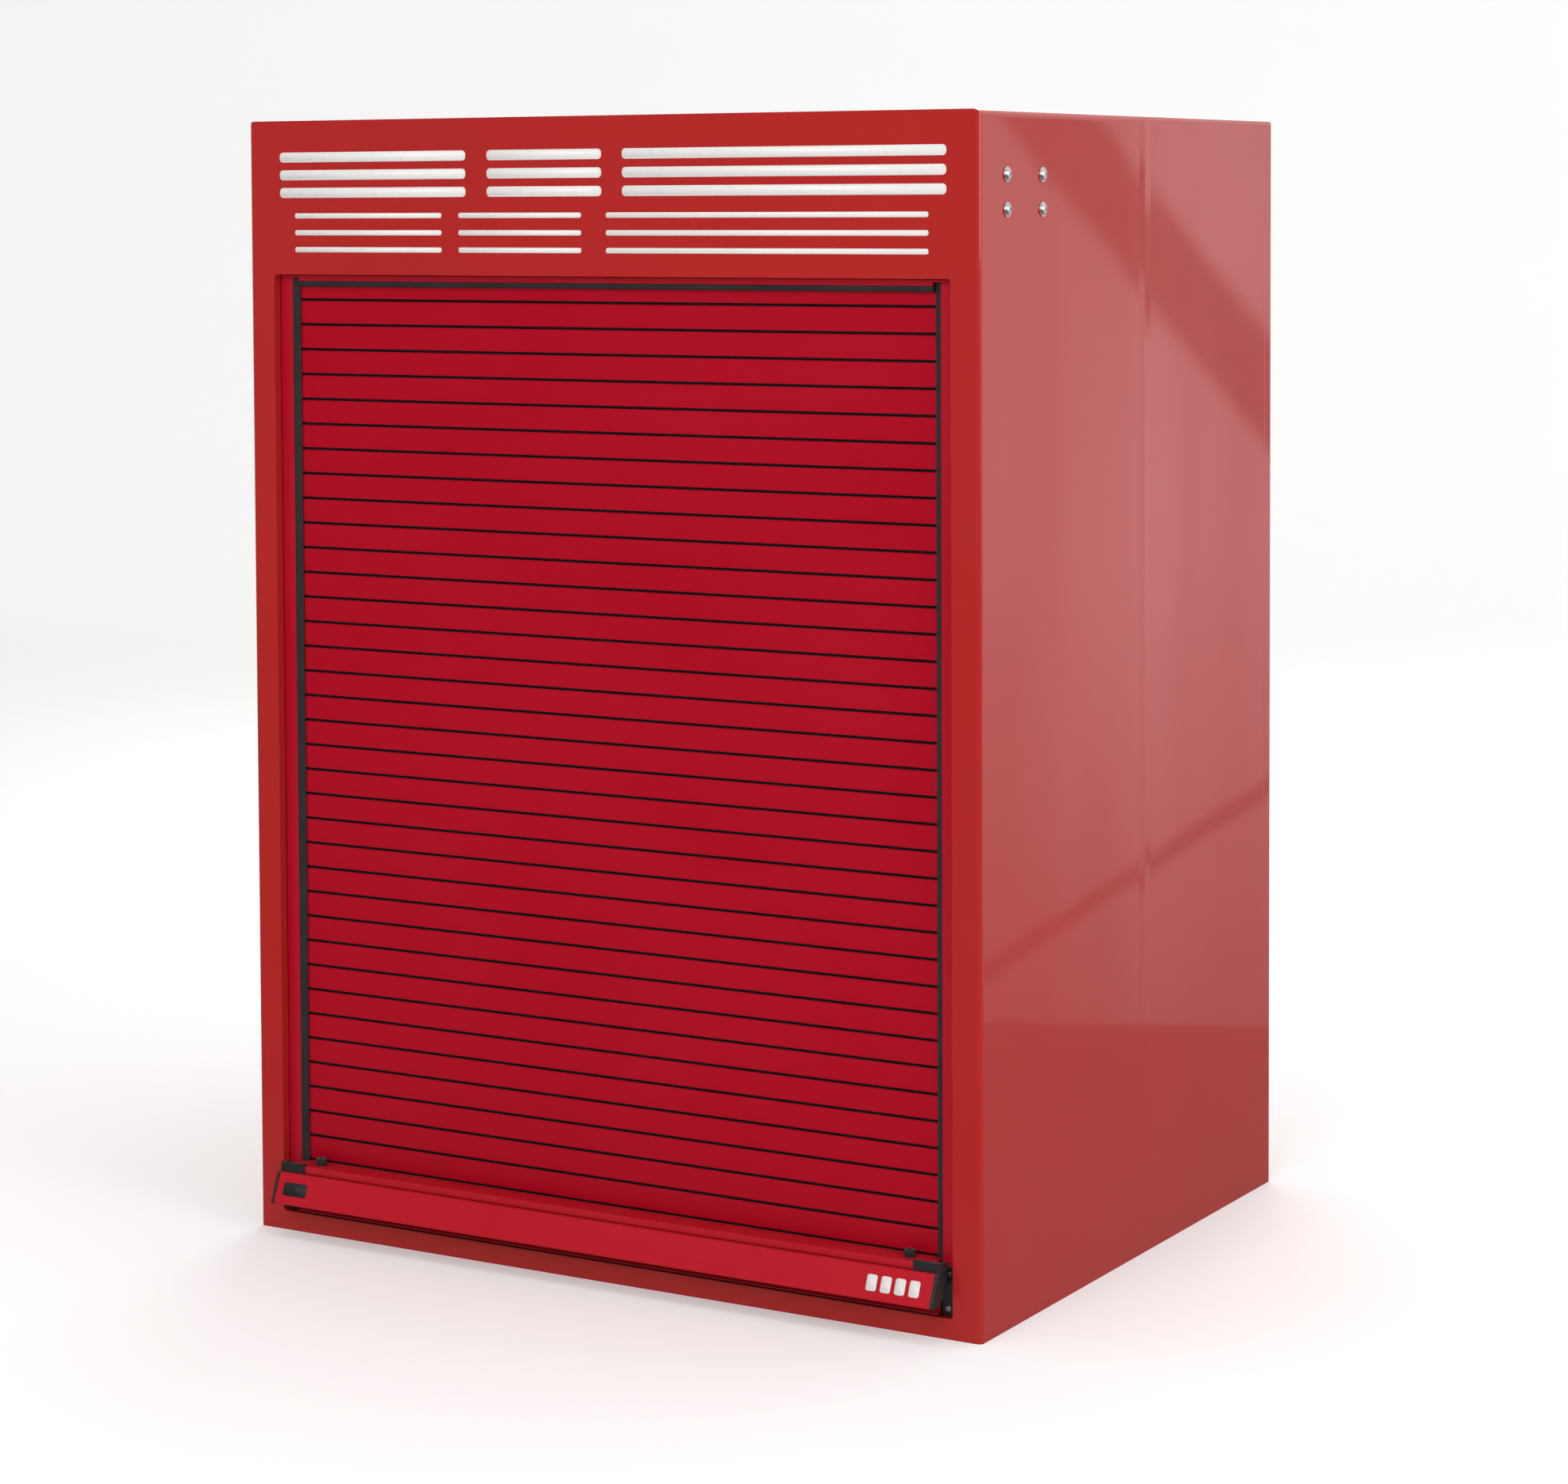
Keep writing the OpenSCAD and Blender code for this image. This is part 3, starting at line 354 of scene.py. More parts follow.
FINISHES = {
    "cabinet_paint": paint("cabinet_paint", CABINET_RED, 0.22, 0.9, 700, 0.05, 0.02, 0.05, wear=0.12,
                           gloss=0.1, waviness=0.0016, crease=STIFFENER_Y, low_darkening_share=0.08),
    "rail_paint": paint("rail_paint", RAIL_RED, 0.32, 0.2, 1100, 0.08, 0.03, 0.03, wear=0.2, gloss=0.2,
                        low_darkening_share=0.08),
    "slat_paint": paint("slat_paint", CRIMSON, 0.36, 0.06, 1300, 0.07, 0.025, 0.0, streaks=0.04, wear=0.2,
                        gloss=0.08, waviness=0.0002, low_darkening_share=0.06),
    "bar_paint": paint("bar_paint", BAR_RED, 0.30, 0.25, 1200, 0.08, 0.02, 0.03, streaks=0.04, wear=0.2,
                       gloss=0.2, low_darkening_share=0.05),
    "black_nylon": plastic("black_nylon", (0.020, 0.020, 0.022), 0.42),
    "seal_rubber": rubber("seal_rubber", (0.017, 0.017, 0.018), 0.62, gloss=0.4),
    "webbing": webbing("webbing", (0.02, 0.02, 0.022)),
    "zinc_steel": metal("zinc_steel", (0.66, 0.68, 0.70), 0.28),
    "shaft_steel": metal("shaft_steel", (0.52, 0.52, 0.53), 0.32, (1, 40, 40), 0.4),
    "drum_alu": metal("drum_alu", (0.78, 0.79, 0.80), 0.30, (0.02, 1, 1), 0.15),
    "bronze": metal("bronze", (0.72, 0.46, 0.18), 0.26, (1, 1, 1), 0.35, (0.30, 0.16, 0.07)),
    "tank_paint": paint("tank_paint", (0.45, 0.010, 0.010), 0.20, 0.9, 500, 0.10, 0.04, 0.3),
    "dip_plastic": plastic("dip_plastic", (0.70, 0.68, 0.60), 0.4),
    "frame_paint": paint("frame_paint", (0.018, 0.018, 0.020), 0.42, 0.3, 1500, 0.22, 0.12, 0.35,
                         wear=0.7),
    "grip_rubber": rubber("grip_rubber", (0.016, 0.016, 0.017), 0.75, knurl),
    "tyre_rubber": rubber("tyre_rubber", (0.022, 0.021, 0.020), 0.78),
    "rim_paint": paint("rim_paint", (0.42, 0.43, 0.45), 0.35, 0.3, 900, 0.12, 0.06, 0.3, metallic=0.6),
    "dial_white": plastic("dial_white", (0.82, 0.81, 0.77), 0.35, dust=0.0, scuff=0.0, spread=0.03),
    "needle_black": plastic("needle_black", (0.02, 0.02, 0.02), 0.3, dust=0.0),
    "gauge_lens": glass("gauge_lens"),
    "hose_rubber": braided("hose_rubber", (0.018, 0.018, 0.020)),
    "branch_plastic": plastic("branch_plastic", (0.024, 0.024, 0.027), 0.40),
}
GALVANISED = galvanised("galvanised_sheet")
GASKET_RUBBER = rubber("gasket_rubber", (0.0040, 0.0035, 0.0040), 0.7, bloomed=0.08, gloss=0.12)
VINYL = plastic("white_vinyl", (0.80, 0.78, 0.76), 0.30, 2200, 0.05, 0.02, 0.05, 0.0)
BLACK_VINYL = plastic("black_vinyl", (0.012, 0.012, 0.013), 0.60, 2200, 0.05, 0.05, 0.05, 0.0)
GREEN_ARC = plastic("green_print", (0.03, 0.30, 0.08), 0.35, dust=0.0, scuff=0.0)
RED_ARC = plastic("red_print", (0.50, 0.02, 0.02), 0.35, dust=0.0, scuff=0.0)

SMOOTH_ANGLE = math.radians(35)


def smooth_by_angle(mesh, angle=SMOOTH_ANGLE):
    mesh.shade_smooth()
    mesh.set_sharp_from_angle(angle=angle)


MATERIAL_SLOTS = {part["node"]: part["material_slot"] for part in frame["record"]["subparts"]}
OWN_FINISHES = {**dict.fromkeys(("floor_pan", "floor_bearers", "drum_brackets"), GALVANISED),
                **dict.fromkeys(("upper_gaskets", "lower_gaskets"), GASKET_RUBBER)}
for name, slot in MATERIAL_SLOTS.items():
    node = NODES[name]
    node.data.materials.clear()
    node.data.materials.append(OWN_FINISHES.get(name, FINISHES[slot]))
    for polygon in node.data.polygons:
        polygon.material_index = 0
    smooth_by_angle(node.data)


# ---------------------------------------------------------------- mesh helpers


def piece(name, builder, material, body, replaces=()):
    """Turns a filled bmesh into an object that rides on a body."""
    builder.normal_update()
    mesh = bpy.data.meshes.new(name)
    builder.to_mesh(mesh)
    builder.free()
    obj = bpy.data.objects.new(name, mesh)
    scene.collection.objects.link(obj)
    mesh.materials.append(material)
    smooth_by_angle(mesh)
    if replaces:
        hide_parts(*replaces)
    if body:
        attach(obj, body)
    return obj


def rounded_outline(w, h, r, steps=6):
    """Points round a w by h rectangle with corners of radius r."""
    x, y = w / 2 - r, h / 2 - r
    points = []
    for cx, cy, start in ((x, y, 0), (-x, y, 90), (-x, -y, 180), (x, -y, 270)):
        for k in range(steps + 1):
            a = math.radians(start + 90 * k / steps)
            points.append((cx + r * math.cos(a), cy + r * math.sin(a)))
    return points


def decal(builder, w, h, r, place, thickness=0.00025):
    """A thin rounded sheet with a softened rim, its back on the plane that place maps z=0 to."""
    rim = min(r, thickness * 1.5)
    rings = []
    for inset, z in ((0, 0), (0, thickness * 0.6), (rim * 0.5, thickness)):
        outline = rounded_outline(w - 2 * inset, h - 2 * inset, max(r - inset, 1e-5))
        rings.append([builder.verts.new(place @ Vector((x, y, z))) for x, y in outline])
    count = len(rings[0])
    for low, high in zip(rings, rings[1:]):
        for k in range(count):
            builder.faces.new((low[k], low[(k + 1) % count], high[(k + 1) % count], high[k]))
    builder.faces.new(rings[-1])
    builder.faces.new(list(reversed(rings[0])))


def tube(builder, points, ups, radius, sides):
    """Closed tube through points; radius is a number or one number per point."""
    rings = []
    last = len(points) - 1
    for i, (p, up) in enumerate(zip(points, ups)):
        along = (points[min(i + 1, last)] - points[max(i - 1, 0)]).normalized()
        u = along.cross(up).normalized()
        v = along.cross(u)
        r = radius[i] if isinstance(radius, list) else radius
        rings.append([builder.verts.new(p + r * (math.cos(a) * u + math.sin(a) * v))
                      for a in (2 * math.pi * k / sides for k in range(sides))])
    for low, high in zip(rings, rings[1:]):
        for k in range(sides):
            builder.faces.new((low[k], low[(k + 1) % sides], high[(k + 1) % sides], high[k]))
    builder.faces.new(list(reversed(rings[0])))
    builder.faces.new(rings[-1])


def belt(builder, points, width, thickness):
    """A flat strap along points in a plane of constant x, with softened long edges."""
    rings = []
    last = len(points) - 1
    for i, p in enumerate(points):
        along = (points[min(i + 1, last)] - points[max(i - 1, 0)]).normalized()
        across = Vector((1, 0, 0))
        out = across.cross(along)
        ring = []
        for side in (1, -1):
            for share, lift in ((0.5, 0.25), (0.47, 0.5), (-0.47, 0.5), (-0.5, 0.25)):
                offset = across * share * width + out * lift * thickness
                ring.append(builder.verts.new(p + side * offset))
        rings.append(ring)
    count = len(rings[0])
    for low, high in zip(rings, rings[1:]):
        for k in range(count):
            builder.faces.new((low[k], low[(k + 1) % count], high[(k + 1) % count], high[k]))
    builder.faces.new(list(reversed(rings[0])))
    builder.faces.new(rings[-1])


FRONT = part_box("front_fascia")[0].y
FACE = Matrix(((1, 0, 0, 0), (0, 0, -1, 0), (0, 1, 0, 0), (0, 0, 0, 1)))
CLEAR = 0.00002             # gap between a decal and the face behind it


def on_front(x, z):
    """Maps a decal's own plane onto the cabinet's front face."""
    return Matrix.Translation((x, FRONT - CLEAR, z)) @ FACE


# ---------------------------------------------------------------- plain vinyl bands in place of lettering

left_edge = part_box("front_fascia")[0].x

# Spans from the left edge, heights and band thickness of the upper and the lower row
HEADER_ROWS = (
    (((0.048, 0.330), (0.361, 0.526), (0.555, 0.988)), (1.3105, 1.3325, 1.3545), 0.0125),
    (((0.071, 0.294), (0.319, 0.497), (0.532, 0.965)), (1.2400, 1.2610, 1.2820), 0.0065),
)
bands = bmesh.new()
for spans, heights, thickness in HEADER_ROWS:
    for start, end in spans:
        for z in heights:
            place = on_front(left_edge + (start + end) / 2, z)
            decal(bands, end - start, thickness, thickness * 0.4, place)
piece("header_bands", bands, VINYL, "cabinet")

# Upper and lower edges of the lift bar's sloping face
BAR_TOP = Vector((0, -0.4370, 0.0778))
BAR_FOOT = Vector((0, -0.4504, 0.0446))
lean = math.atan2(BAR_TOP.y - BAR_FOOT.y, BAR_TOP.z - BAR_FOOT.z)
bar_middle = (BAR_TOP + BAR_FOOT) / 2


def on_bar(x):
    """Maps a decal's own plane onto the lift bar's sloping face."""
    place = Matrix.Translation((x, bar_middle.y - 0.00003, bar_middle.z))
    return place @ Matrix.Rotation(-lean, 4, "X") @ FACE


MARK_X, MARK_PITCH = 0.3885, 0.0185
marks = bmesh.new()
for k in range(4):
    decal(marks, 0.0135, 0.019, 0.003, on_bar(MARK_X + MARK_PITCH * k))
piece("lift_bar_marks", marks, VINYL, "lift_bar")
marks = bmesh.new()
decal(marks, 0.036, 0.0165, 0.003, on_bar(-0.4385))
piece("lift_bar_dark_mark", marks, BLACK_VINYL, "lift_bar")

# ---------------------------------------------------------------- the part of the curtain that winds up


def winds_up(obj, node):
    """obj shows the node in its place: the node is hidden, and obj rides on the cabinet with a mesh of its
    own.
    """
    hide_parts(node)
    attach(obj, "cabinet")
    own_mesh(obj)


for node in ("upper_slats", "upper_gaskets", "upper_end_caps"):
    shown = bpy.data.objects.new(node + "_winding", NODES[node].data.copy())
    scene.collection.objects.link(shown)
    winds_up(shown, node)

strap_low, strap_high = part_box("curtain_straps")
STRAP_W, STRAP_T = 0.040, 0.0014
strap_y = strap_low.y + STRAP_T / 2
strap_run = strap_high.y - strap_low.y - STRAP_T
straps = bmesh.new()
for x in (strap_low.x + STRAP_W / 2, 0, strap_high.x - STRAP_W / 2):
    line = [Vector((x, strap_y + strap_run * k / 20, strap_low.z + (strap_high.z - strap_low.z) * k / 20))
            for k in range(21)]
    belt(straps, line, STRAP_W, STRAP_T)
straps_obj = piece("curtain_belts", straps, FINISHES["webbing"], None)
winds_up(straps_obj, "curtain_straps")

# ---------------------------------------------------------------- hose

HOSE_R = 0.011
OUTLET = Vector((-0.076, -0.030, 0.9241))
TAIL = Vector((0.212, -0.050, 0.4198))
FERRULE = 0.034
COIL_R, COIL_PITCH, COIL_TURNS = 0.150, 0.024, 4.5
COIL_X, COIL_Z = -0.205, 0.640
HOSE_FRONT = Vector((0, -0.217, 0.396))


def hermite(p, u, q, v, t):
    """Point at t on the curve from p with tangent u to q with tangent v."""
    return ((2 * t ** 3 - 3 * t * t + 1) * p + (t ** 3 - 2 * t * t + t) * u
            + (3 * t * t - 2 * t ** 3) * q + (t ** 3 - t * t) * v)


def coil_point(angle):
    return Vector((COIL_X - COIL_PITCH * angle / (2 * math.pi), OUTLET.y + COIL_R * math.sin(angle),
                   COIL_Z + COIL_R * math.cos(angle)))


def hose_run():
    """Dense points along the hose, from the valve's outlet round the coil to the branch pipe."""
    turned = 2 * math.pi * COIL_TURNS
    start, end = OUTLET - Vector((FERRULE, 0, 0)), TAIL - Vector((0, 0, FERRULE))
    shares = [k / 80 for k in range(80)]
    coil = [coil_point(turned * k / 1400) for k in range(1401)]
    into_coil, out_of_coil = Vector((0, 0.190, 0)), Vector((0, -0.380, 0))
    from_valve, across, up_pipe = Vector((-0.170, 0, 0)), Vector((0.380, 0, 0)), Vector((0, 0, 0.320))
    first = [hermite(start, from_valve, coil[0], into_coil, t) for t in shares]
    second = [hermite(coil[-1], out_of_coil, HOSE_FRONT, across, t) for t in shares[1:]]
    third = [hermite(HOSE_FRONT, across, end, up_pipe, t) for t in shares]
    return [OUTLET - Vector((0.0003, 0, 0))] + first + coil + second + third + [end, TAIL]


def evenly(points, step):
    """The same run, resampled at even steps."""
    result, gone = [points[0]], 0.0
    for p, q in zip(points, points[1:]):
        length = (q - p).length
        while gone + length >= step:
            share = (step - gone) / length
            p = p + (q - p) * share
            length = (q - p).length
            gone = 0.0
            result.append(p)
        gone += length
    return result + [points[-1]]


HOSE_STEP = 0.005
HOSE_SIDES = 20
run = evenly(hose_run(), HOSE_STEP)
ups = [Vector((0, 0, -1))]
for p, q in zip(run, run[1:]):
    along = (q - p).normalized()
    ups.append((ups[-1] - ups[-1].dot(along) * along).normalized())
hose = bmesh.new()
tube(hose, run, ups, [HOSE_R - 0.0002 * (k % 2) for k in range(len(run))], HOSE_SIDES)
hose_obj = piece("braided_hose", hose, FINISHES["hose_rubber"], "cabinet", ("hose",))
corners = range(len(hose_obj.data.vertices))
for name, values in (("run", [HOSE_STEP * (k // HOSE_SIDES) for k in corners]),
                     ("round", [(k % HOSE_SIDES) / HOSE_SIDES for k in corners])):
    layer = hose_obj.data.attributes.new(name, "FLOAT", "POINT")
    layer.data.foreach_set("value", values)

# ---------------------------------------------------------------- tyres and grips


def lathe(builder, profile, steps, place, groove=None):
    """Turns a closed profile of (x, radius) round x; groove(step, point, radius) gives a changed radius."""
    rings = []
    for k in range(steps):
        a = 2 * math.pi * k / steps
        ring = []
        for i, (x, r) in enumerate(profile):
            r = groove(k, i, r) if groove else r
            ring.append(builder.verts.new(place @ Vector((x, r * math.cos(a), r * math.sin(a)))))
        rings.append(ring)
    count = len(profile)
    for k in range(steps):
        this, following = rings[k], rings[(k + 1) % steps]
        for i in range(count):
            j = (i + 1) % count
            builder.faces.new((this[i], following[i], following[j], this[j]))


def tyre_profile(outer, half, bore):
    """Tread with two grooves, round shoulders, side walls with a raised ring, and the seat on the rim."""
    shoulder = [(half - 0.010 + 0.010 * math.sin(a), outer - 0.010 + 0.010 * math.cos(a)) for a in
                (math.radians(15 * k) for k in range(7))]
    wall = [(half, outer - 0.016), (half - 0.0008, outer - 0.0165), (half - 0.0008, outer - 0.0215),
            (half, outer - 0.022), (half, bore + 0.001), (half - 0.001, bore)]
    groove_floor = outer - 0.0025
    tread = [(0.0065, outer), (0.0065, groove_floor), (0.0095, groove_floor), (0.0095, outer)]
    side = tread + shoulder + wall
    return side + [(-x, r) for x, r in reversed(side)]


TREAD_STEPS = 240
TREAD_PERIOD, TREAD_GAP = 6, 2      # steps from one cross groove to the next, and steps in a groove
TREAD_DEPTH = 0.0028
RIM_TO_TREAD = 0.034        # from the tyre's seat on the rim to its tread
for side, body in (("left", "wheel_left"), ("right", "wheel_right")):
    low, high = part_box("tyre_" + side)
    middle = (low + high) / 2
    outer, half = (high.z - low.z) / 2, (high.x - low.x) / 2
    profile = tyre_profile(outer, half, outer - RIM_TO_TREAD)
    lugs = [i for i, (x, r) in enumerate(profile) if abs(x) > 0.009 and r > outer - 0.006]

    def cut(step, i, r):
        return r - TREAD_DEPTH if i in lugs and step % TREAD_PERIOD < TREAD_GAP else r

    tyre = bmesh.new()
    lathe(tyre, profile, TREAD_STEPS, Matrix.Translation(middle), cut)
    bmesh.ops.recalc_face_normals(tyre, faces=tyre.faces)
    piece("tyre_tread_" + side, tyre, FINISHES["tyre_rubber"], body, ("tyre_" + side,))

GRIP_R, GRIP_FLANGE_R, GRIP_BORE_R = 0.0178, 0.0198, 0.0138
GRIP_LENGTH, RIB_PITCH, RIB_DEPTH = 0.105, 0.0046, 0.0013
CORE_R = 0.0004             # radius of the pinhole left in the closed end
low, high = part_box("handle_grips")
x0, x1 = high.x - GRIP_LENGTH, high.x
valley = GRIP_R - RIB_DEPTH
ribs = []
for k in range(20):
    x = x0 + 0.003 + RIB_PITCH * k
    ribs += [(x, valley), (x + 0.0006, GRIP_R), (x + 0.0032, GRIP_R), (x + 0.0038, valley)]
flange = [(x1 - 0.0065, GRIP_R - 0.0010), (x1 - 0.006, GRIP_FLANGE_R), (x1 - 0.001, GRIP_FLANGE_R),
          (x1, GRIP_FLANGE_R - 0.001)]
closed_end = [(x1, CORE_R), (x1 - 0.005, CORE_R), (x1 - 0.005, GRIP_BORE_R)]
outline = [(x0, GRIP_BORE_R), (x0, valley)] + ribs + flange + closed_end
place = Matrix.Translation((0, (low.y + high.y) / 2, (low.z + high.z) / 2))
grips = bmesh.new()
for sign in (1, -1):
    lathe(grips, [(sign * x, r) for x, r in outline], 40, place)
bmesh.ops.recalc_face_normals(grips, faces=grips.faces)
piece("ribbed_grips", grips, FINISHES["grip_rubber"], "cabinet", ("handle_grips",))

# ---------------------------------------------------------------- tank label, weld beads and gauge print

tank_low, tank_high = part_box("tank")
TANK_R = (tank_high.x - tank_low.x) / 2
TANK_Y = (tank_low.y + tank_high.y) / 2


def wrapped(builder, angle_low, angle_high, z_low, z_high, radius, thickness=0.00025, steps=40):
    """A thin curved sheet on the tank; angles in degrees from straight ahead."""
    grid = []
    for lift in (0, thickness):
        rows = []
        for k in range(steps + 1):
            a = math.radians(angle_low + (angle_high - angle_low) * k / steps)
            x, y = (radius + lift) * math.sin(a), TANK_Y - (radius + lift) * math.cos(a)
            rows.append([builder.verts.new((x, y, z)) for z in (z_low, z_high)])
        grid.append(rows)
    inner, outer = grid
    for k in range(steps):
        builder.faces.new((outer[k][0], outer[k + 1][0], outer[k + 1][1], outer[k][1]))
        builder.faces.new((inner[k][1], inner[k + 1][1], inner[k + 1][0], inner[k][0]))
        for end in (0, 1):
            builder.faces.new((inner[k][end], inner[k + 1][end], outer[k + 1][end], outer[k][end]))
    for k in (0, steps):
        builder.faces.new((inner[k][0], inner[k][1], outer[k][1], outer[k][0]))


label = bmesh.new()
wrapped(label, -52, 52, 0.455, 0.640, TANK_R + 0.0001)
bmesh.ops.recalc_face_normals(label, faces=label.faces)
piece("tank_label", label, VINYL, "cabinet")

# Blank bars on the label, the first one thicker; they start at one angle and end at these
LABEL_LEFT, LABEL_TOP, LABEL_PITCH = -46, 0.626, 0.034
bars = bmesh.new()
for row, right_end in enumerate((46, 20, 34, 8, 28)):
    top = LABEL_TOP - LABEL_PITCH * row
    height = 0.020 if row == 0 else 0.007
    wrapped(bars, LABEL_LEFT, right_end, top - height, top, TANK_R + 0.0004)
bmesh.ops.recalc_face_normals(bars, faces=bars.faces)
piece("tank_label_bars", bars, BLACK_VINYL, "cabinet")

DOME_H, TANK_FOOT, TANK_TOP = 0.062, 0.100, 0.880
BEAD_R = 0.0022
BEAD_STEPS = 96
beads = bmesh.new()
for z in (TANK_FOOT + DOME_H, TANK_TOP - DOME_H):
    around = []
    for k in range(BEAD_STEPS):
        a = 2 * math.pi * k / BEAD_STEPS
        around.append(Vector((TANK_R * math.sin(a), TANK_Y - TANK_R * math.cos(a), z)))
    nearly_closed = around[0] - 0.00001 * (around[1] - around[0])
    around.append(nearly_closed)
    radii = [BEAD_R * (1 + 0.10 * math.sin(7.3 * k)) for k in range(BEAD_STEPS + 1)]
    tube(beads, around, [Vector((0, 0, 1))] * (BEAD_STEPS + 1), radii, 10)
piece("tank_weld_beads", beads, FINISHES["tank_paint"], "cabinet")

dial_low, dial_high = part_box("gauge_dial")
dial_x, dial_z = (dial_low.x + dial_high.x) / 2, (dial_low.z + dial_high.z) / 2


def dial_ring(builder, inner, outer, angle_low, angle_high, steps=24):
    """A printed arc on the dial; angles in degrees clockwise from the top as the dial is read."""
    y, back = dial_low.y - 0.0002, dial_low.y - CLEAR
    rows = []
    for k in range(steps + 1):
        a = math.radians(angle_low + (angle_high - angle_low) * k / steps)
        rows.append([builder.verts.new((dial_x + r * math.sin(a), depth, dial_z + r * math.cos(a)))
                     for r, depth in ((inner, y), (outer, y), (outer, back), (inner, back))])
    for this, following in zip(rows, rows[1:]):
        for i in range(4):
            j = (i + 1) % 4
            builder.faces.new((this[i], this[j], following[j], following[i]))
    builder.faces.new(list(reversed(rows[0])))
    builder.faces.new(rows[-1])


DIAL_END = 110              # degrees from the top to the scale's ends
for name, spans, material in (("gauge_green_arc", ((-32, 32),), GREEN_ARC),
                              ("gauge_red_arcs", ((-DIAL_END, -34), (34, DIAL_END)), RED_ARC)):
    arcs = bmesh.new()
    for start, end in spans:
        dial_ring(arcs, 0.0155, 0.0190, start, end)
    bmesh.ops.recalc_face_normals(arcs, faces=arcs.faces)
    piece(name, arcs, material, "cabinet")
ticks = bmesh.new()
for k in range(11):
    angle = -DIAL_END + 22 * k
    half_angle = 1.6 if k % 5 == 0 else 0.9
    dial_ring(ticks, 0.0195, 0.0222, angle - half_angle, angle + half_angle, 2)
bmesh.ops.recalc_face_normals(ticks, faces=ticks.faces)
piece("gauge_ticks", ticks, BLACK_VINYL, "cabinet")

# ---------------------------------------------------------------- stage, light and camera


def staged(name, builder, material):
    """A mesh that belongs to the scene and not to the object."""
    mesh = bpy.data.meshes.new(name)
    builder.to_mesh(mesh)
    builder.free()
    mesh.shade_smooth()
    mesh.materials.append(material)
    obj = bpy.data.objects.new(name, mesh)
    scene.collection.objects.link(obj)
    return obj


def glossy_share(tree):
    return tree.nodes.new("ShaderNodeLightPath").outputs["Is Glossy Ray"]


FLOOR_LIFT = (0.16, 0.42)   # glow of the floor and of the backdrop where the camera sees them
FLOOR_DIM = (0.06, 0.27)    # what reflections see of the floor, in front of the cabinet and beside it


def pale_floor():
    """Pale where it is seen and where it lights the object, but dim in the object's reflections."""
    s = Shader("stage_pale")
    s.set(Base_Color=s.mix(s.noise(1.5, 4), (0.88, 0.88, 0.88), (0.91, 0.91, 0.91)), Roughness=0.8,
          Specular_IOR_Level=0.1)
    seen = s.tree.nodes.new("ShaderNodeLightPath").outputs["Is Camera Ray"]
    lift = s.remap(s.along(1), 0.0, 5.0, *FLOOR_LIFT)
    s.set(Emission_Color=(1.0, 1.0, 1.0), Emission_Strength=s.math("MULTIPLY", seen, lift))
    s.bump([(s.noise(200, 2), 0.05, 0.0005)])
    dim = s.tree.nodes.new("ShaderNodeEmission")
    dim.inputs[0].default_value = (1.0, 0.89, 0.82, 1)
    s.put(dim.inputs[1], s.remap(s.along(1), -1.1, -0.35, *FLOOR_DIM))
    both = s.tree.nodes.new("ShaderNodeMixShader")
    s.put(both.inputs[0], glossy_share(s.tree))
    s.tree.links.new(s.bsdf.outputs[0], both.inputs[1])
    s.tree.links.new(dim.outputs[0], both.inputs[2])
    s.tree.links.new(both.outputs[0], s.output.inputs[0])
    return s.material


# The floor runs back and curves up into a backdrop
BEND_Y, BEND_R = 5.0, 3.0
bend = [math.radians(90) * k / 16 for k in range(17)]
profile = ([(-9.0, 0.0)] + [(BEND_Y + BEND_R * math.sin(a), BEND_R - BEND_R * math.cos(a)) for a in bend]
           + [(BEND_Y + BEND_R, 9.0)])
sweep = bmesh.new()
rows = [[sweep.verts.new((x, y, z)) for y, z in profile] for x in (-14.0, 14.0)]
for k in range(len(profile) - 1):
    sweep.faces.new((rows[0][k], rows[1][k], rows[1][k + 1], rows[0][k + 1]))
staged("stage_floor", sweep, pale_floor())


def wall_glow():
    """A lit wall with faint upright joints and two darker diagonals, seen only in reflections."""
    s = Shader("stage_wall")
    across = s.along(0)
    up = s.along(2)
    joints = s.remap(s.noise(6, 3, 0.6, (1, 1, 0.06)), 0.35, 0.7, 0.70, 1.12)
    fade = s.remap(up, 0.0, 0.75, 0.50, 1.0)
    falling = s.math("ADD", up, s.math("MULTIPLY", across, 1.27))
    beam = s.remap(s.ridge(falling, 1.56, 0.11), 0.0, 0.35, 1.0, 0.42)
    rising = s.math("SUBTRACT", up, s.math("MULTIPLY", across, 0.67))
    pipe = s.remap(s.ridge(rising, 0.080, 0.022), 0.0, 0.6, 1.0, 0.52)
    level = s.math("MULTIPLY", s.math("MULTIPLY", joints, fade), s.math("MULTIPLY", beam, pipe))
    glow = s.tree.nodes.new("ShaderNodeEmission")
    glow.inputs[0].default_value = (1.0, 0.93, 0.92, 1)
    s.put(glow.inputs[1], level)
    s.tree.links.new(glow.outputs[0], s.output.inputs[0])
    return s.material


# The wall runs from the cabinet's back right corner past its right side
wall = bmesh.new()
wall.faces.new([wall.verts.new(p) for p in ((-2.2, 0, 0), (1.2, 0, 0), (1.2, 0, 3.0), (-2.2, 0, 3.0))])
wall_obj = staged("stage_wall", wall, wall_glow())
WALL_PLACE, WALL_ALONG = (1.29, 1.09, 0), (-0.407, 0.196)
wall_obj.location = WALL_PLACE
wall_obj.rotation_euler = (0, 0, math.atan2(WALL_ALONG[1], WALL_ALONG[0]))
for ray in ("camera", "diffuse", "shadow", "transmission", "volume_scatter"):
    setattr(wall_obj, "visible_" + ray, False)


WORLD_LEVEL = 0.5
ROOM_FRONT, ROOM_REST = 0.10, 0.45  # what reflections see of the room


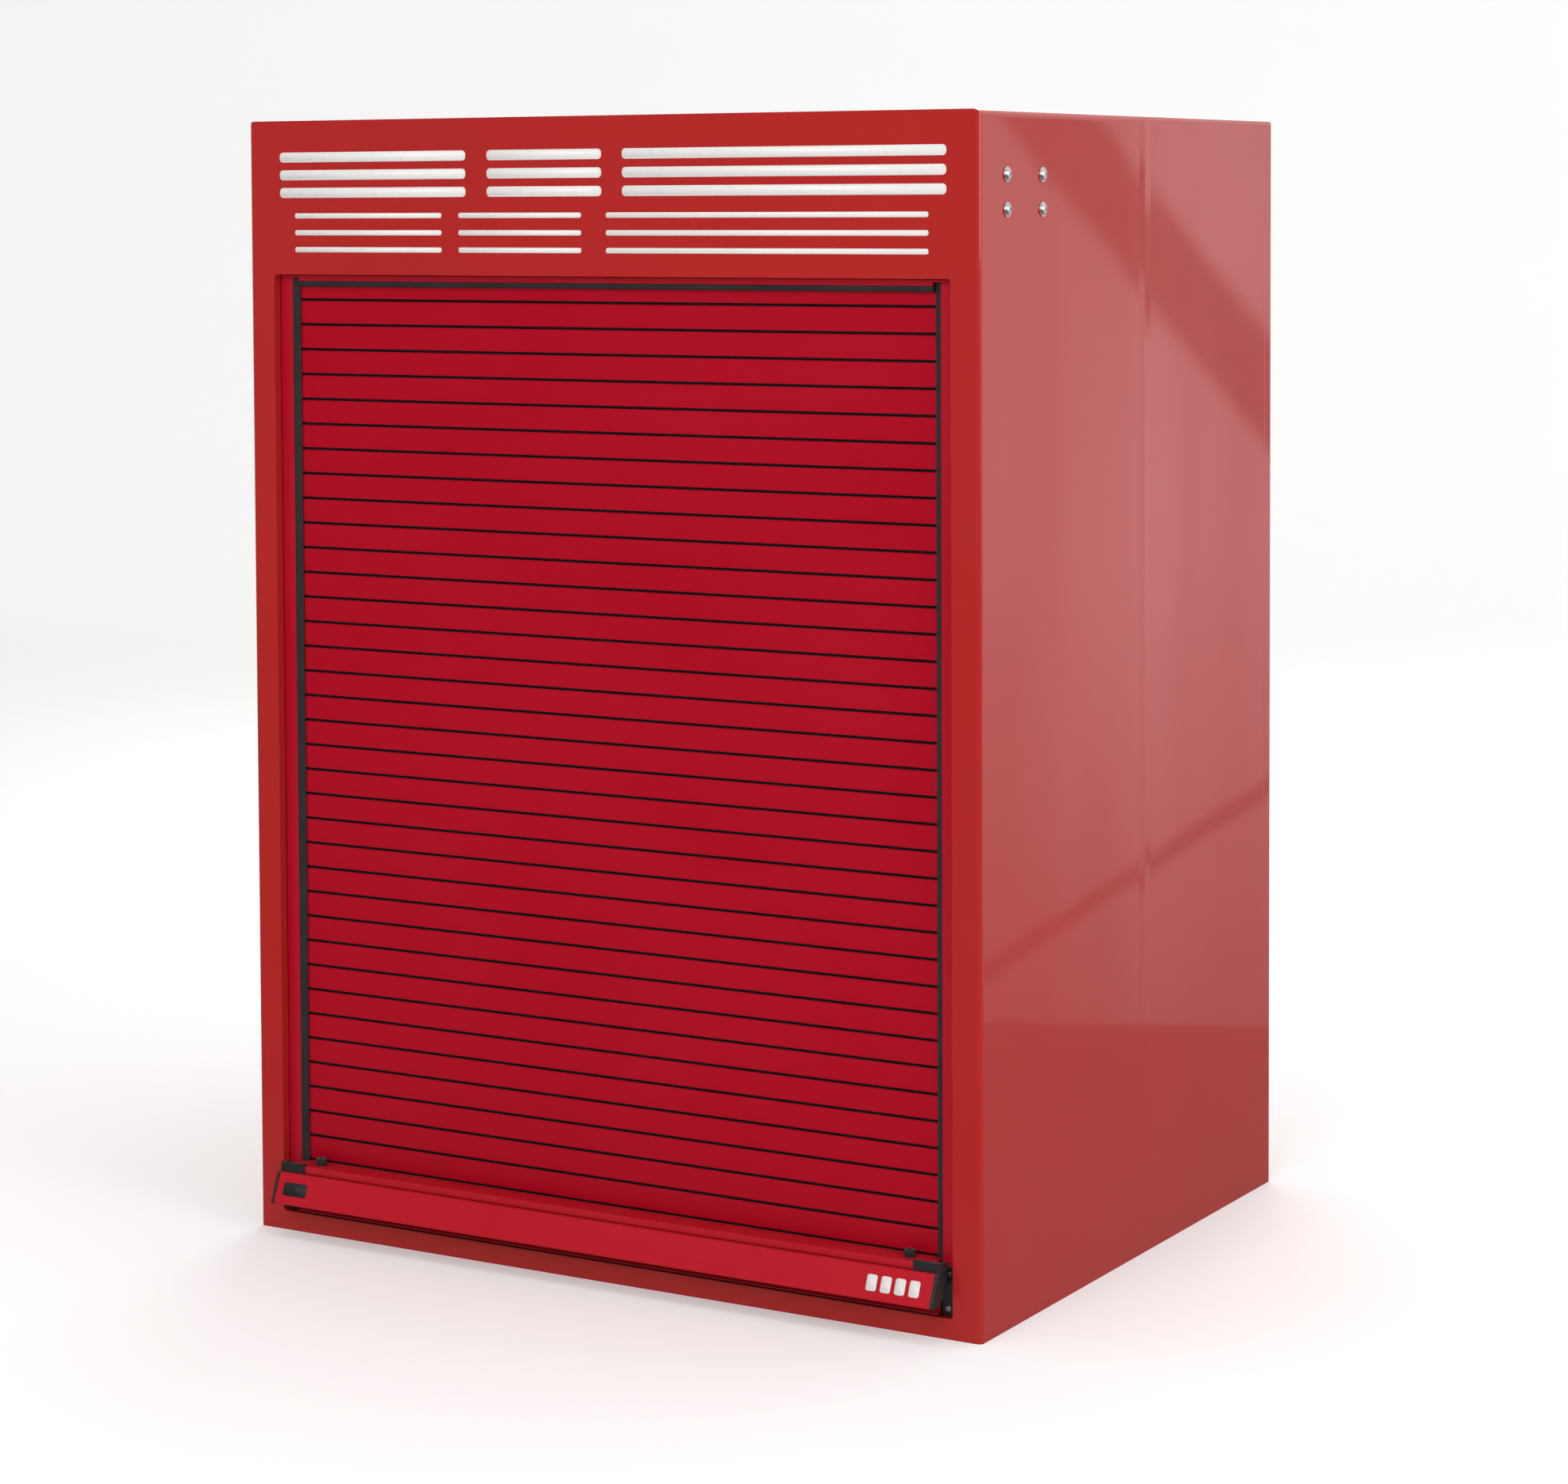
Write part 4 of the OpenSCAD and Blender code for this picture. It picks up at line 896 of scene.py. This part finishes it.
def studio_world():
    """Even soft light; reflections see a room that is dim in front of the cabinet and brighter elsewhere."""
    world = bpy.data.worlds.new("studio")
    scene.world = world
    world.use_nodes = True
    tree = world.node_tree
    background = tree.nodes["Background"]
    split = tree.nodes.new("ShaderNodeSeparateXYZ")
    tree.links.new(tree.nodes.new("ShaderNodeTexCoord").outputs["Generated"], split.inputs[0])
    room = tree.nodes.new("ShaderNodeMapRange")
    tree.links.new(split.outputs[1], room.inputs["Value"])
    for key, number in (("From Min", -0.6), ("From Max", 0.0), ("To Min", ROOM_FRONT), ("To Max", ROOM_REST)):
        room.inputs[key].default_value = number
    level = tree.nodes.new("ShaderNodeMix")
    level.inputs[2].default_value = WORLD_LEVEL
    tree.links.new(glossy_share(tree), level.inputs[0])
    tree.links.new(room.outputs[0], level.inputs[3])
    tree.links.new(level.outputs[0], background.inputs[1])
    background.inputs[0].default_value = (1.0, 0.99, 0.98, 1)


studio_world()


def area(name, place, target, size, power):
    """A soft rectangular lamp at place that points at target."""
    light = bpy.data.lights.new(name, "AREA")
    light.shape = "RECTANGLE"
    light.size, light.size_y = size
    light.energy = power
    obj = bpy.data.objects.new(name, light)
    obj.location = place
    obj.rotation_euler = (Vector(target) - Vector(place)).to_track_quat("-Z", "Y").to_euler()
    scene.collection.objects.link(obj)


MIDDLE = (0, 0, 0.7)
area("key", (0.7, -4.9, 3.3), MIDDLE, (2.8, 2.4), 106)
area("side", (4.6, -0.6, 2.3), MIDDLE, (3.2, 2.4), 70)
area("top", (0, 0.4, 4.6), MIDDLE, (3.5, 3.5), 60)
area("back", (-1.5, 4.0, 3.0), MIDDLE, (3.0, 2.0), 45)

camera = bpy.data.cameras.new("camera")
camera.sensor_width = 36.0
camera.lens = 86.9
camera.clip_end = 60.0
camera_obj = bpy.data.objects.new("camera", camera)
PHOTO_PLACE = Vector((2.4652, -4.1802, 1.2953))
forward = Vector((-0.50464, 0.86184, -0.05077)).normalized()
right = Vector((0.86305, 0.5051, -0.00426))
right = (right - right.dot(forward) * forward).normalized()
up = right.cross(forward)
basis = Matrix((right, up, -forward)).transposed().to_4x4()
camera_obj.matrix_world = Matrix.Translation(PHOTO_PLACE) @ basis
scene.collection.objects.link(camera_obj)
scene.camera = camera_obj

# The lens is shifted down only while the camera stands where the photograph was taken
photo_spot = bpy.data.objects.new("photo_spot", None)
photo_spot.location = PHOTO_PLACE
scene.collection.objects.link(photo_spot)
shift = camera.driver_add("shift_y")
shift.driver.type = "SUM"
distance = shift.driver.variables.new()
distance.name = "distance"
distance.type = "LOC_DIFF"
distance.targets[0].id = camera_obj
distance.targets[1].id = photo_spot
for modifier in list(shift.modifiers):
    shift.modifiers.remove(modifier)
for metres, amount in ((0.0, -0.2210), (0.1, 0.0)):
    shift.keyframe_points.insert(metres, amount).interpolation = "LINEAR"
